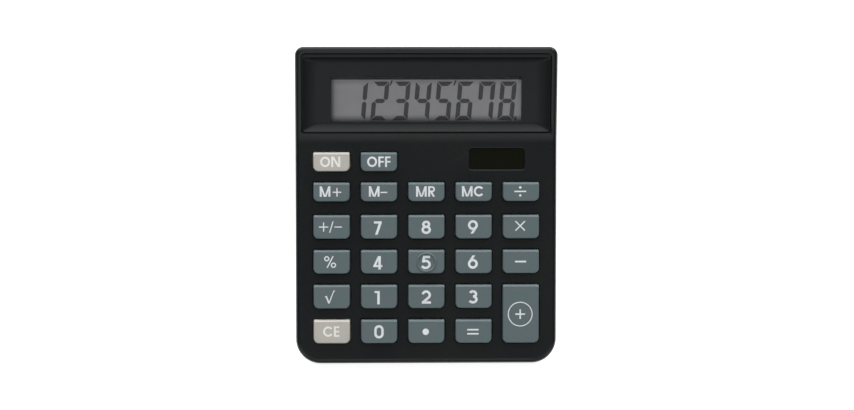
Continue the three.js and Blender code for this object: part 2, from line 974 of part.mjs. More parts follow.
// The heat sealed ribbon runs from the underside of the glass to the rear of the board
function lcdRibbon() {
  const under = glassMiddle - clearance - ribbon.thickness / 2;
  const over = boardTop + clearance + ribbon.thickness / 2;
  const start = displayPoint(0, pane.front + ribbon.onGlass, under);
  const leave = displayPoint(0, pane.front - clearance, under);
  const land = keyboardPoint(0, boardRear, over);
  const end = keyboardPoint(0, boardRear - ribbon.onBoard, over);
  const middle = leave.clone().add(land).divideScalar(2);
  middle.z -= ribbon.sag;
  const line = [start, leave, middle, land, end].map((p) => new THREE.Vector2(p.y, p.z));
  return strip(line, ribbon.thickness, ribbonWidth).translate(ribbonX, 0, 0);
}

// A raised ring on a key's top face
function fingerRing() {
  const root = key.proud - ring.width;
  const top = key.proud + ring.rise;
  return cut(toSolid(post(0, 0, ring.radius + ring.width / 2, root, top)), [
    toSolid(post(0, 0, ring.radius - ring.width / 2, root - overrun, top + overrun)),
  ]);
}

function keyCap(height, extras = []) {
  const skin = loft([
    raise(keyOutline({ height, spread: key.draft + key.flange }), flangeBottom),
    raise(keyOutline({ height, spread: key.draft + key.flange }), flangeTop),
    raise(keyOutline({ height, spread: key.draft }), flangeTop),
    raise(keyOutline({ height }), key.proud - key.shoulder),
    raise(keyOutline({ height, spread: -key.bevel, rearSpread: -key.rearBevel }), key.proud),
  ]);
  const hollow = toSolid(block(
    0,
    0,
    keyWidth - 2 * key.sideWall,
    height - 2 * key.sideWall,
    flangeBottom - overrun,
    key.proud - key.topWall,
  ));
  const plungerTop = key.proud - key.topWall + bond;
  const plunger = toSolid(post(0, 0, key.plungerRadius, flangeBottom, plungerTop, domeSides));
  return toGeometry(join([cut(toSolid(skin), [hollow]), plunger, ...extras]));
}

// One silicone sheet with a hollow dome and a contact pill under every key
function rubberKeypad() {
  const side = columns[columnCount - 1] + keyWidth / 2 + keypad.sideLap;
  const rear = powerRow.rear + keypad.rearLap;
  const whole = toSolid(slab({
    width: 2 * side,
    front: rows[0].front - keypad.frontLap,
    rear,
    frontCorner: keypad.corner,
    rearCorner: key.frontCorner,
    steps: smallCornerSteps,
    rearSteps: plateSteps,
  }, sheetBottom, sheetTop));
  const notchLeft = solarX - solar.windowWidth / 2 - keypad.solarGap;
  const notchFront = memoryRow.rear + keypad.memoryLap;
  const notch = toSolid(block(
    (notchLeft + side + overrun) / 2,
    (notchFront + rear + overrun) / 2,
    side + overrun - notchLeft,
    rear + overrun - notchFront,
    sheetBottom - overrun,
    sheetTop + overrun,
  ));
  const screwHoles = boardScrewPlaces.map(({ x, y }) => toSolid(
    post(x, y, boardScrew.bossRadius + clearance, sheetBottom - overrun, sheetTop + overrun, domeSides),
  ));
  const dome = (shrink, bottom, top) => turn([
    [0, bottom],
    [keypad.domeFoot - shrink, bottom],
    [keypad.domeHead - shrink, top],
    [0, top],
  ], domeSides);
  const outer = dome(0, sheetTop - keypad.sheet / 2, domeTop);
  const inner = dome(keypad.skin, sheetBottom - overrun, domeTop - keypad.skin);
  const ceiling = domeTop - keypad.skin;
  const pillTop = ceiling + keypad.skin / 2;
  const pill = post(0, 0, keypad.pillRadius, ceiling - keypad.pillDrop, pillTop, wireSides);
  const at = (geometry, { x, y }) => toSolid(geometry.clone().translate(x, y, 0));
  const sheet = cut(whole, [notch, ...screwHoles]);
  const domed = join([sheet, ...keys.map((place) => at(outer, place))]);
  const hollowed = cut(domed, keys.map((place) => at(inner, place)));
  return toGeometry(join([hollowed, ...keys.map((place) => at(pill, place))]));
}

function mainBoard() {
  const sheet = toSolid(slab({
    width: boardWidth,
    front: boardFront,
    rear: boardRear,
    frontCorner: board.frontCorner,
    rearCorner: board.rearCorner,
    steps: smallCornerSteps,
    rearSteps: plateSteps,
  }, boardBottom, boardTop));
  const holes = boardScrewPlaces.map(({ x, y }) => toSolid(post(
    x,
    y,
    boardScrew.shankRadius + boardScrew.play,
    boardBottom - overrun,
    boardTop + overrun,
    domeSides,
  )));
  return toGeometry(cut(sheet, holes));
}

// A screw that points up, with the underside of its head at the origin
const screw = ({ headRadius, headHeight, headChamfer, shankRadius }, length) => turn([
  [0, -headHeight],
  [headRadius - headChamfer, -headHeight],
  [headRadius, headChamfer - headHeight],
  [headRadius, 0],
  [shankRadius, 0],
  [shankRadius, length - shankRadius],
  [0, length],
], domeSides);

function buttonCell() {
  return turn([
    [0, 0],
    [cell.radius - cell.chamfer, 0],
    [cell.radius, cell.chamfer],
    [cell.radius, cell.height - cell.capRise],
    [cell.capRadius, cell.height - cell.capRise],
    [cell.capRadius - cell.capRise, cell.height],
    [0, cell.height],
  ], cellSides);
}

// A sprung leaf from the board down to the top of the cell
function negativeContact() {
  const solder = keyboardPoint(cellX, cellY, boardBottom - clearance - contact.thickness);
  const touch = cellTop + clearance + contact.thickness / 2;
  const line = [
    new THREE.Vector2(cellY + contact.spring + contact.pad, solder.z),
    new THREE.Vector2(cellY + contact.spring, solder.z),
    new THREE.Vector2(cellY - contact.overlap / 2, touch),
    new THREE.Vector2(cellY - contact.overlap, touch + contact.thickness),
  ];
  return strip(line, contact.thickness, contact.width).translate(cellX, 0, 0);
}

// A tab from the board down past the side of the cell
function positiveContact() {
  const solder = keyboardPoint(cellX, cellY, boardBottom - clearance - contact.thickness);
  const side = cell.radius + battery.play;
  const line = [
    new THREE.Vector2(side + contact.pad, solder.z),
    new THREE.Vector2(side + contact.thickness, solder.z),
    new THREE.Vector2(side, solder.z - contact.thickness),
    new THREE.Vector2(side, cellBottom + cell.height / 2),
  ];
  return strip(line, contact.thickness, contact.width)
    .rotateZ(Math.PI / 2)
    .translate(cellX, cellY, 0);
}

function batteryCover() {
  const lid = toSolid(coverPlate(-clearance, coverBottom, coverTop));
  const bore = (radius, bottom, top, sides) => toSolid(
    post(coverScrewX, cellY, radius + coverScrew.play, bottom, top, sides),
  );
  const sink = bore(coverScrew.headRadius, coverBottom - overrun, coverBottom + coverSink);
  const hole = bore(coverScrew.shankRadius, coverBottom, coverTop + overrun, domeSides);
  return toGeometry(cut(lid, [sink, hole]));
}

function rubberFoot() {
  return turn([
    [0, 0],
    [foot.radius - foot.edge, 0],
    [foot.radius, foot.edge],
    [foot.radius, foot.proud + foot.seat - clearance],
    [0, foot.proud + foot.seat - clearance],
  ]);
}

// The solar window lies in its recess, and the cell under it on the ledge
const solarCellTop = -solar.sunk - solar.windowThickness - solar.ledgeThickness - 2 * clearance;
const solarCellBottom = solarCellTop - solar.cellThickness;

// A short lead from the underside of the solar cell, round a loop and down to the board
function solarLead(side) {
  const x = solarX + (side * lead.pitch) / 2;
  const rear = solarRear;
  const high = solarCellBottom - clearance - lead.radius;
  const low = boardTop + clearance + lead.radius;
  const turnX = x + side * lead.loopWidth;
  return wire([
    new THREE.Vector3(x, rear - lead.run, high),
    new THREE.Vector3(x, rear - lead.run / 2, high),
    new THREE.Vector3(x, rear + lead.loopLength / 2, high + lead.rise),
    new THREE.Vector3((x + turnX) / 2, rear + lead.loopLength, (high + low) / 2 + lead.rise),
    new THREE.Vector3(turnX, rear + lead.loopLength / 2, low),
    new THREE.Vector3(turnX, rear - lead.run / 2, low),
  ], lead.radius);
}

// Parts that hang under the board
function controllerChip() {
  const dome = [2, 1, 0].map((step) => {
    const angle = (step / 3) * (Math.PI / 2);
    return [chip.radius * Math.cos(angle), -chip.height * Math.sin(angle)];
  });
  return turn([[0, -chip.height], ...dome, [0, 0]])
    .translate(chip.x, boardRear - chip.fromRear, boardBottom - clearance);
}

const lyingUnderBoard = (profile, { radius, length, x, fromRear }) => turn(profile, domeSides)
  .rotateY(Math.PI / 2)
  .translate(x - length / 2, boardRear - fromRear, boardBottom - clearance - radius);

function capacitorCan() {
  const { radius, length, crimp, crimpWidth, crimpFromEnd } = capacitor;
  return lyingUnderBoard([
    [0, 0],
    [radius, 0],
    [radius, crimpFromEnd - crimpWidth / 2],
    [radius - crimp, crimpFromEnd],
    [radius, crimpFromEnd + crimpWidth / 2],
    [radius, length],
    [0, length],
  ], capacitor);
}

function resistorRod() {
  const { radius, waist, length, cap, shoulder } = resistor;
  return lyingUnderBoard([
    [0, 0],
    [radius, 0],
    [radius, cap],
    [waist, cap + shoulder],
    [waist, length - cap - shoulder],
    [radius, length - cap],
    [radius, length],
    [0, length],
  ], resistor);
}

// Finishes
const finish = (color, roughness, metalness = 0) => new THREE.MeshStandardMaterial({
  color,
  roughness,
  metalness,
});
const housingPlastic = finish(0x202427, 0.5);
const bezelPlastic = finish(0x1c1e20, 0.15);
const keyGrey = finish(0x5a6669, 0.5);
const keyLight = finish(0xb4b1ab, 0.5);
const clearPlastic = finish(0xd8dcdc, 0.05);
const displayGlass = finish(0x767678, 0.1);
const foil = finish(0xb8babc, 0.35, 0.6);
const ribbonFilm = finish(0xc7a15a, 0.5);
const solarGlass = finish(0x13150f, 0.08);
const siliconCell = finish(0x2a1c18, 0.2);
const boardLaminate = finish(0x8a5f2e, 0.6);
const blackResin = finish(0x141414, 0.4);
const canSleeve = finish(0x1d2c58, 0.35);
const resistorBody = finish(0xb99a6b, 0.5);
const silicone = finish(0x8d8f90, 0.7);
const nickel = finish(0xc4c4c0, 0.25, 1);
const steel = finish(0x9a9ca0, 0.3, 1);
const footRubber = finish(0x262626, 0.8);
const redWire = finish(0xa02020, 0.5);
const blackWire = finish(0x181818, 0.5);

const calculator = new THREE.Group();
calculator.add(keyboardFrame, displayFrame);

function place(parent, name, geometry, material, x = 0, y = 0, z = 0) {
  const mesh = new THREE.Mesh(geometry, material);
  mesh.name = name;
  mesh.position.set(x, y, z);
  parent.add(mesh);
}

place(calculator, 'top_housing', topHousing(), housingPlastic);
place(calculator, 'bottom_housing', bottomHousing(), housingPlastic);
place(displayFrame, 'display_bezel', displayBezel(), bezelPlastic);
place(displayFrame, 'display_lens', displayPlate(0, lensBottom, lensTop), clearPlastic);
place(displayFrame, 'lcd_glass', lcdGlass(), displayGlass);
place(
  displayFrame,
  'lcd_reflector',
  displayPlate(-display.reflectorInset, reflectorBottom, reflectorTop),
  foil,
);
place(displayFrame, 'lcd_holder', lcdHolder(), housingPlastic);
place(calculator, 'lcd_ribbon', lcdRibbon(), ribbonFilm);

const windowBottom = -solar.sunk - solar.windowThickness;
place(keyboardFrame, 'solar_window', solarSheet(-clearance / 2, windowBottom, -solar.sunk), solarGlass);
place(keyboardFrame, 'solar_cell', solarSheet(0, solarCellBottom, solarCellTop), siliconCell);
place(keyboardFrame, 'solar_lead_red', solarLead(1), redWire);
place(keyboardFrame, 'solar_lead_black', solarLead(-1), blackWire);

const lightKeys = ['key_on', 'key_ce'];
keys.forEach(({ name, x, y, height }) => {
  const cap = keyCap(height, name === 'key_5' ? [fingerRing()] : []);
  place(keyboardFrame, name, cap, lightKeys.includes(name) ? keyLight : keyGrey, x, y);
});
place(keyboardFrame, 'rubber_keypad', rubberKeypad(), silicone);
place(keyboardFrame, 'main_board', mainBoard(), boardLaminate);
place(keyboardFrame, 'controller_chip', controllerChip(), blackResin);
place(keyboardFrame, 'capacitor', capacitorCan(), canSleeve);
place(keyboardFrame, 'resistor', resistorRod(), resistorBody);
boardScrewPlaces.forEach(({ name, x, y }) => {
  const length = board.thickness + 2 * clearance + boardScrew.bite;
  place(keyboardFrame, name, screw(boardScrew, length), steel, x, y, boardBottom - clearance);
});

place(calculator, 'button_cell', buttonCell(), nickel, cellX, cellY, cellBottom);
place(calculator, 'battery_contact_negative', negativeContact(), nickel);
place(calculator, 'battery_contact_positive', positiveContact(), nickel);
place(calculator, 'battery_cover', batteryCover(), housingPlastic);
place(
  calculator,
  'battery_cover_screw',
  screw(coverScrew, coverScrew.length),
  steel,
  coverScrewX,
  cellY,
  coverBottom + coverScrew.headHeight,
);
caseScrewPlaces.forEach(({ name, x, y, top }) => {
  const seat = top - caseScrew.bridge - clearance / 2;
  place(calculator, name, screw(caseScrew, caseScrew.length), steel, x, y, seat);
});
footPlaces.forEach(({ name, x, y }) => {
  place(calculator, name, rubberFoot(), footRubber, x, y);
});

export default calculator;
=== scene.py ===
"""A desktop calculator with solar and button cell power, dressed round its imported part.

Lengths are metres, written in millimetres times MM. +X is the user's right, +Y points to the rear
edge and +Z up. The origin is the middle of the footprint, on the table.
"""

import logging
import math
from collections.abc import Callable, Iterable, Sequence
from dataclasses import dataclass, field, replace
from enum import Enum
from functools import cache

import bpy
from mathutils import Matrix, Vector
from mathutils.geometry import delaunay_2d_cdt


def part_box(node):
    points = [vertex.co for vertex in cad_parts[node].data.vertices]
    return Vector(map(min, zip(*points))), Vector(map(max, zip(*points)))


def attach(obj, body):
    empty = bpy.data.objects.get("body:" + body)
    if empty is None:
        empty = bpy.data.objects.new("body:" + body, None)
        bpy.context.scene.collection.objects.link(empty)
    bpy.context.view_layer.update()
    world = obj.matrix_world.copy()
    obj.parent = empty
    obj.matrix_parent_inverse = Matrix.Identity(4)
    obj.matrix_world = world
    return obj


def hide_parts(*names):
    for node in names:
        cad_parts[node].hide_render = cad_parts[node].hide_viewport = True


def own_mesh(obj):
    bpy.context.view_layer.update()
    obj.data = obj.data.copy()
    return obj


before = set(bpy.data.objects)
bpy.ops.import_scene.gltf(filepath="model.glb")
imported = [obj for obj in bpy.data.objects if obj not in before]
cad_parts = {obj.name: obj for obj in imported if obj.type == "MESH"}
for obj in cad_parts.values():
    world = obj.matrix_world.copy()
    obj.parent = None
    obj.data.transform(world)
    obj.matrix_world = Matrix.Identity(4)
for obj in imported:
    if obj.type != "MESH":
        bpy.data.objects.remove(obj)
log = logging.getLogger("calculator")

MM = 0.001
CLEARANCE = 0.3 * MM
OVERRUN = 1 * MM
BOND = 0.5 * MM
CORNERS = ("front_left", "front_right", "rear_left", "rear_right")
FEET = tuple(f"foot_{corner}" for corner in CORNERS)
NOISE_SPAN = (0.3, 0.7)
CLOUD_SPAN = (0.35, 0.65)
FINE_DETAIL = 3.0
FINEST_DETAIL = 4.0
HARSH = 0.6
SHARP_ANGLE = 34.0
LIP_STEPS = 4

Point2 = tuple[float, float]
Height = Callable[[float], float]
Value = object
Object = bpy.types.Object
Socket = bpy.types.NodeSocket


@cache
def packed_box(node: str) -> tuple[Vector, Vector]:
    """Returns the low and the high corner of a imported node's box."""
    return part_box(node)


def middle_of(node: str) -> Point2:
    """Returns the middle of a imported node's box, seen from above."""
    low, high = packed_box(node)
    return (low.x + high.x) / 2, (low.y + high.y) / 2


class Body(Enum):
    """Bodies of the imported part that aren't keys."""

    CASE = "case"


class Carving(Enum):
    """What tools do to a solid."""

    JOIN = "UNION"
    CUT = "DIFFERENCE"
    SHARE = "INTERSECT"


class NodeBuilder:
    """Adds and joins the nodes of one tree."""

    def __init__(self, tree: bpy.types.NodeTree) -> None:
        """Keeps the tree that the nodes go into."""
        self.tree = tree

    def feed(self, socket: Socket, value: Value) -> None:
        """Links a socket or sets its value.

        Args:
            socket: The input that gets the value.
            value: Another node's output, or a plain value.
        """
        if isinstance(value, Socket):
            self.tree.links.new(value, socket)
        else:
            socket.default_value = value

    def add(self, kind: str, inputs: dict | None = None, **settings: Value) -> bpy.types.Node:
        """Adds a node.

        Args:
            kind: The node's type name.
            inputs: Values or sockets by input name or number.
            settings: The node's own properties.

        Returns:
            The new node.
        """
        node = self.tree.nodes.new(kind)
        for name, value in settings.items():
            setattr(node, name, value)
        for name, value in (inputs or {}).items():
            self.feed(node.inputs[name], value)
        return node

    def math(self, operation: str, *values: Value) -> Socket:
        """Returns the result of a Math node on one to three values."""
        return self.add("ShaderNodeMath", dict(enumerate(values)), operation=operation).outputs[0]

    def axes(self, space: str = "Object") -> bpy.types.NodeOutputs:
        """Returns the axes of the place that is shaded."""
        place = self.add("ShaderNodeTexCoord").outputs[space]
        return self.add("ShaderNodeSeparateXYZ", {0: place}).outputs

    def noise(self, size: float, detail: float = 2.0, roughness: float = 0.5) -> Socket:
        """Returns a noise between 0 and 1, with specks of about the given size in metres."""
        place = self.add("ShaderNodeTexCoord").outputs["Object"]
        inputs = {"Vector": place, "Scale": 1 / size, "Detail": detail, "Roughness": roughness}
        return self.add("ShaderNodeTexNoise", inputs).outputs[0]

    def span(self, value: Value, low: float, high: float, to_low: float, to_high: float) -> Value:
        """Maps a value from one range to another and keeps it inside that range."""
        inputs = {"Value": value, "From Min": low, "From Max": high, "To Min": to_low, "To Max": to_high}
        return self.add("ShaderNodeMapRange", inputs).outputs["Result"]

    def mix(self, share: Value, first: Value, second: Value) -> Socket:
        """Returns a mix of two colours."""
        inputs = {0: share, 6: first, 7: second}
        return self.add("ShaderNodeMix", inputs, data_type="RGBA").outputs[2]

    def bump(self, height: Value, strength: float, distance: float) -> Socket:
        """Returns a normal that a height disturbs."""
        inputs = {"Height": height, "Strength": strength, "Distance": distance}
        return self.add("ShaderNodeBump", inputs).outputs["Normal"]


def shading(owner: bpy.types.ID, kind: str) -> tuple[NodeBuilder, Socket]:
    """Clears a material's or a world's nodes and returns their builder and the last input."""
    owner.use_nodes = True
    owner.node_tree.nodes.clear()
    nodes = NodeBuilder(owner.node_tree)
    return nodes, nodes.add(f"ShaderNodeOutput{kind}").inputs["Surface"]


def linear(colour: str) -> tuple[float, float, float, float]:
    """Turns a colour as a screen shows it into scene light.

    Args:
        colour: Six hexadecimal digits.

    Returns:
        Red, green, blue and an alpha of 1.
    """
    shares = [int(colour[i : i + 2], 16) / 255 for i in (0, 2, 4)]
    light = [c / 12.92 if c <= 0.04045 else ((c + 0.055) / 1.055) ** 2.4 for c in shares]
    return (*light, 1.0)


@dataclass(frozen=True)
class Finish:
    """A surface finish, made into a material once."""

    name: str
    slot: str
    colour: str
    roughness: float = 0.5
    specular: float = 0.5
    metallic: float = 0.0

    def material(self) -> bpy.types.Material:
        """Returns the finish's material, and makes it at the first call."""
        material = bpy.data.materials.get(self.name)
        if material is None:
            material = bpy.data.materials.new(self.name)
            nodes, output = shading(material, "Material")
            nodes.feed(output, self.surface(nodes))
        return material

    def surface(self, nodes: NodeBuilder) -> Socket:
        """Builds the finish's shader and returns its output."""
        return self.principled(nodes, {})

    def principled(self, nodes: NodeBuilder, given: dict[str, Value]) -> Socket:
        """Adds the main shader with the finish's plain values.

        Args:
            nodes: The material's nodes.
            given: Inputs by name that take the place of plain values.

        Returns:
            The shader's output.
        """
        values = {
            "Base Color": linear(self.colour),
            "Roughness": self.roughness,
            "Metallic": self.metallic,
            "Specular IOR Level": self.specular,
            **given,
        }
        return nodes.add("ShaderNodeBsdfPrincipled", values).outputs["BSDF"]


@dataclass(frozen=True)
class MouldedPlastic(Finish):
    """Injection moulded plastic: a fine eroded grain, faint clouds of colour and small scuffs."""

    cloud: str = "000000"
    cloud_size: float = 5 * MM
    grain_size: float = 0.25 * MM
    grain_depth: float = 0.012 * MM
    gloss_spread: float = 0.06

    def surface(self, nodes: NodeBuilder) -> Socket:
        """Builds the grained shader and returns its output."""
        clouds = nodes.span(nodes.noise(self.cloud_size, FINE_DETAIL), *CLOUD_SPAN, 0.0, 1.0)
        grain = nodes.noise(self.grain_size, FINE_DETAIL, HARSH)
        wear = nodes.noise(self.cloud_size * 2, FINEST_DETAIL, HARSH)
        glossiest = self.roughness - self.gloss_spread
        given = {
            "Base Color": nodes.mix(clouds, linear(self.colour), linear(self.cloud)),
            "Roughness": nodes.span(wear, *NOISE_SPAN, glossiest, self.roughness),
            "Normal": nodes.bump(grain, 1.0, self.grain_depth),
        }
        return self.principled(nodes, given)


@dataclass(frozen=True)
class ClearWindow(Finish):
    """A clear or tinted window that lets lamps through, with a faint haze in its gloss."""

    solid_share: float = 0.15
    haze_size: float = 6 * MM
    haze: float = 0.03

    def surface(self, nodes: NodeBuilder) -> Socket:
        """Builds the see-through shader and returns its output."""
        specks = nodes.noise(self.haze_size)
        roughness = nodes.span(specks, *NOISE_SPAN, self.roughness, self.roughness + self.haze)
        return self.principled(nodes, {"Roughness": roughness, "Alpha": self.solid_share})


@dataclass(frozen=True)
class SunkPanel(Finish):
    """A panel that lies deep in a frame, with painted shade along its front and left edges and painted light
    along its rear and right edges.
    """

    front: float = 33.2 * MM
    front_fall: float = 3.6 * MM
    front_shade: float = 0.12
    rear: float = 50.2 * MM
    rear_fall: float = 3.6 * MM
    rear_gain: float = 1.2
    left: float = -38.2 * MM
    left_fall: float = 1.6 * MM
    left_shade: float = 0.25
    right: float = 38.2 * MM
    right_fall: float = 4 * MM
    right_gain: float = 1.25
    cloud_size: float = 9 * MM
    cloud_gain: float = 0.04

    def surface(self, nodes: NodeBuilder) -> Socket:
        """Builds the shader with painted shade and painted light at the edges and clouds of tone, and returns
        its output.
        """
        axes = nodes.axes()
        x, y = axes["X"], axes["Y"]
        # Painted shade: darker towards the front and the left edge. Painted light: brighter towards the rear
        # and the right edge.
        shares = (
            nodes.span(y, self.front, self.front + self.front_fall, self.front_shade, 1.0),
            nodes.span(y, self.rear - self.rear_fall, self.rear, 1.0, self.rear_gain),
            nodes.span(x, self.left, self.left + self.left_fall, self.left_shade, 1.0),
            nodes.span(x, self.right - self.right_fall, self.right, 1.0, self.right_gain),
        )
        clouds = nodes.noise(self.cloud_size)
        light = nodes.span(clouds, *NOISE_SPAN, 1 - self.cloud_gain, 1 + self.cloud_gain)
        for share in shares:
            light = nodes.math("MULTIPLY", light, share)
        inputs = {0: linear(self.colour)[:3], "Scale": light}
        colour = nodes.add("ShaderNodeVectorMath", inputs, operation="SCALE").outputs[0]
        return self.principled(nodes, {"Base Color": colour})


@dataclass(frozen=True)
class Metal(Finish):
    """Plated or bare metal with fine turning marks."""

    mark_size: float = 0.12 * MM
    mark_depth: float = 0.01 * MM
    mark_strength: float = 0.4
    stain_size: float = 2 * MM
    polish: float = 0.08
    tarnish: float = 0.1

    def surface(self, nodes: NodeBuilder) -> Socket:
        """Builds the metal shader and returns its output."""
        stains = nodes.noise(self.stain_size, FINEST_DETAIL, HARSH)
        low, high = self.roughness - self.polish, self.roughness + self.tarnish
        given = {
            "Roughness": nodes.span(stains, *NOISE_SPAN, low, high),
            "Normal": nodes.bump(nodes.noise(self.mark_size), self.mark_strength, self.mark_depth),
        }
        return self.principled(nodes, given)


@dataclass(frozen=True)
class Striped(Finish):
    """A film or cell with fine conductors side by side along X."""

    line: str = "000000"
    pitch: float = 0.8 * MM
    line_share: float = 0.4
    haze_size: float = 1 * MM
    haze: float = 0.08

    def surface(self, nodes: NodeBuilder) -> Socket:
        """Builds the striped shader and returns its output."""
        across = nodes.math("DIVIDE", nodes.axes()["X"], self.pitch)
        stripe = nodes.math("LESS_THAN", nodes.math("PINGPONG", across, 0.5), self.line_share / 2)
        specks = nodes.noise(self.haze_size)
        given = {
            "Base Color": nodes.mix(stripe, linear(self.colour), linear(self.line)),
            "Roughness": nodes.span(specks, *NOISE_SPAN, self.roughness, self.roughness + self.haze),
        }
        return self.principled(nodes, given)


HOUSING = MouldedPlastic(
    "black housing", "housing_black", "101518", 0.28, 0.44, cloud="101414", cloud_size=16 * MM
)
BEZEL = MouldedPlastic(
    "gloss bezel",
    "bezel_gloss",
    "1e2122",
    0.27,
    0.22,
    cloud="1c1f20",
    cloud_size=14 * MM,
    grain_depth=0.001 * MM,
    gloss_spread=0.04,
)
KEY_GREY = MouldedPlastic(
    "grey key", "key_grey", "5e6f72", 0.42, 0.5, cloud="626d70", grain_depth=0.006 * MM
)
KEY_LIGHT = MouldedPlastic(
    "light key", "key_light", "c4bfb7", 0.42, 0.5, cloud="bdbcb5", grain_depth=0.006 * MM
)
LEGEND = MouldedPlastic(
    "legend ink", "key_light", "f0f3f5", 0.5, 0.3, cloud="e0e4e8", grain_depth=0.003 * MM
)
LIGHT_LEGEND = MouldedPlastic(
    "legend ink on light keys", "key_light", "f6f5f1", 0.5, 0.3, cloud="f1f0ec", grain_depth=0.003 * MM
)
# The figures and the glass both carry painted shade at the front and left edges and painted light at the rear
# and right edges.
FIGURE = SunkPanel("display figures", "display_glass", "505053", 0.35, 0.3)
DISPLAY = SunkPanel("display glass", "display_glass", "acacb0", 0.35, 0.3)
BORDER = MouldedPlastic("display border", "display_glass", "343538", 0.35, 0.3, cloud="313235")
LENS = ClearWindow("display lens", "clear_window", "101212", 0.05, 0.5, solid_share=0.1)
SOLAR_WINDOW = ClearWindow("solar window", "solar_tint", "17180f", 0.1, 0.25, solid_share=0.9)
SILICON = Striped(
    "silicon cell", "silicon_cell", "2a1c18", 0.3, line="6b6258", pitch=5.4 * MM, line_share=0.08
)
FOIL = Metal("reflector foil", "foil", "b8babc", 0.35, metallic=0.6)
RIBBON = Striped("ribbon film", "ribbon_film", "c7a15a", 0.5, line="3a2c1c")
SILICONE = MouldedPlastic(
    "silicone keypad", "silicone", "8d8f90", 0.62, 0.4, cloud="868889", grain_depth=0.01 * MM
)
LAMINATE = MouldedPlastic(
    "board laminate", "board_laminate", "8a5f2e", 0.55, 0.4, cloud="7c5427", cloud_size=2 * MM
)
RESIN = MouldedPlastic("chip resin", "black_resin", "141414", 0.35, cloud="191919")
SLEEVE = MouldedPlastic("capacitor sleeve", "can_sleeve", "1d2c58", 0.32, cloud="1b2950")
RESISTOR = MouldedPlastic("resistor body", "resistor_body", "b99a6b", 0.45, cloud="b09163")
RUBBER = MouldedPlastic(
    "foot rubber", "foot_rubber", "222324", 0.72, 0.35, cloud="2a2b2c", grain_depth=0.02 * MM
)
RED_WIRE = MouldedPlastic("red wire", "wire_red", "a02020", 0.42, cloud="971c1c")
BLACK_WIRE = MouldedPlastic("black wire", "wire_black", "181818", 0.42, cloud="1c1c1c")
NICKEL = Metal("nickel", "nickel", "c4c4c0", 0.28, metallic=1.0)
STEEL = Metal("screw steel", "screw_steel", "8f9196", 0.34, metallic=1.0)


@dataclass(frozen=True)
class SlopedFace:
    """A flat face that rises to the rear. Its points are x, the way up the slope and the way out."""

    origin: Vector
    slope: float

    def point(self, x: float, up: float, out: float) -> Vector:
        """Returns the place of a point given on the face."""
        rise = Vector((0.0, math.cos(self.slope), math.sin(self.slope)))
        normal = Vector((0.0, -math.sin(self.slope), math.cos(self.slope)))
        return self.origin + Vector((x, 0.0, 0.0)) + rise * up + normal * out

    def at(self, x: float) -> "SlopedFace":
        """Returns the face with its origin moved sideways."""
        return SlopedFace(self.point(x, 0.0, 0.0), self.slope)


FLOOR_FACE = SlopedFace(Vector((0.0, 0.0, 0.0)), 0.0)


class Skin:
    """A mesh under construction, made of rings of points that run counterclockwise from above."""

    def __init__(self) -> None:
        """Starts an empty skin."""
        self.points: list[Vector] = []
        self.faces: list[tuple[int, ...]] = []

    def ring(self, points: Iterable[Vector]) -> list[int]:
        """Adds points and returns their numbers."""
        start = len(self.points)
        self.points.extend(points)
        return list(range(start, len(self.points)))

    def wall(self, low: Sequence[int], high: Sequence[int]) -> None:
        """Joins two rings of the same count by quads that face outwards."""
        for i, corner in enumerate(low):
            j = (i + 1) % len(low)
            self.faces.append((corner, low[j], high[j], high[i]))

    def hoop(self, rings: Sequence[Sequence[int]]) -> None:
        """Joins each ring to the next one, and the last ring to the first."""
        for low, high in zip(rings, [*rings[1:], rings[0]]):
            self.wall(low, high)

    def strips(self, ring: Sequence[int], facing_up: bool) -> None:
        """Closes a ring of mirrored points by strips across x."""
        for i in range(len(ring) // 2 - 1):
            mirror = len(ring) - 1 - i
            face = (ring[i], ring[i + 1], ring[mirror - 1], ring[mirror])
            self.faces.append(face if facing_up else face[::-1])

    def piece(self, name: str) -> Object:
        """Returns the skin as an object in the scene."""
        mesh = bpy.data.meshes.new(name)
        mesh.from_pydata([tuple(point) for point in self.points], [], self.faces)
        mesh.update()
        return show(name, mesh)


def show(name: str, data: bpy.types.ID) -> Object:
    """Puts a mesh, a camera or a lamp into the scene as an object."""
    piece = bpy.data.objects.new(name, data)
    bpy.context.scene.collection.objects.link(piece)
    return piece


def loft(rings: Sequence[Sequence[Vector]], name: str = "tool") -> Object:
    """Makes a closed solid through rings of mirrored points.

    Args:
        rings: Rings of the same count, from the lowest to the highest.
        name: The object's name.

    Returns:
        The solid.
    """
    skin = Skin()
    numbers = [skin.ring(ring) for ring in rings]
    for low, high in zip(numbers, numbers[1:]):
        skin.wall(low, high)
    skin.strips(numbers[0], facing_up=False)
    skin.strips(numbers[-1], facing_up=True)
    return skin.piece(name)


def bake(piece: Object) -> Object:
    """Turns a piece's modifiers into plain mesh and returns the piece."""
    graph = bpy.context.evaluated_depsgraph_get()
    mesh = bpy.data.meshes.new_from_object(piece.evaluated_get(graph))
    old = piece.data
    piece.modifiers.clear()
    piece.data = mesh
    bpy.data.meshes.remove(old)
    mesh.name = piece.name
    return piece


def carve(base: Object, tools: Sequence[Object], carving: Carving) -> Object:
    """Joins tools to a solid, cuts them out of it or keeps what they share, and removes them.

    Args:
        base: The solid that is changed.
        tools: The solids that change it.
        carving: What they do.

    Returns:
        The changed solid.
    """
    group = bpy.data.collections.new("tools")
    bpy.context.scene.collection.children.link(group)
    for tool in tools:
        group.objects.link(tool)
    modifier = base.modifiers.new("carve", "BOOLEAN")
    modifier.operation = carving.value
    modifier.solver = "MANIFOLD"
    modifier.operand_type = "COLLECTION"
    modifier.collection = group
    bake(base)
    for tool in tools:
        bpy.data.objects.remove(tool)
    bpy.data.collections.remove(group)
    return base


def copy_of(piece: Object) -> Object:
    """Returns a copy of a piece with a mesh of its own."""
    return show(piece.name, piece.data.copy())


def weld(piece: Object, distance: float = 0.001 * MM) -> None:
    """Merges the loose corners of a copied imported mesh."""
    modifier = piece.modifiers.new("weld", "WELD")
    modifier.merge_threshold = distance
    bake(piece)


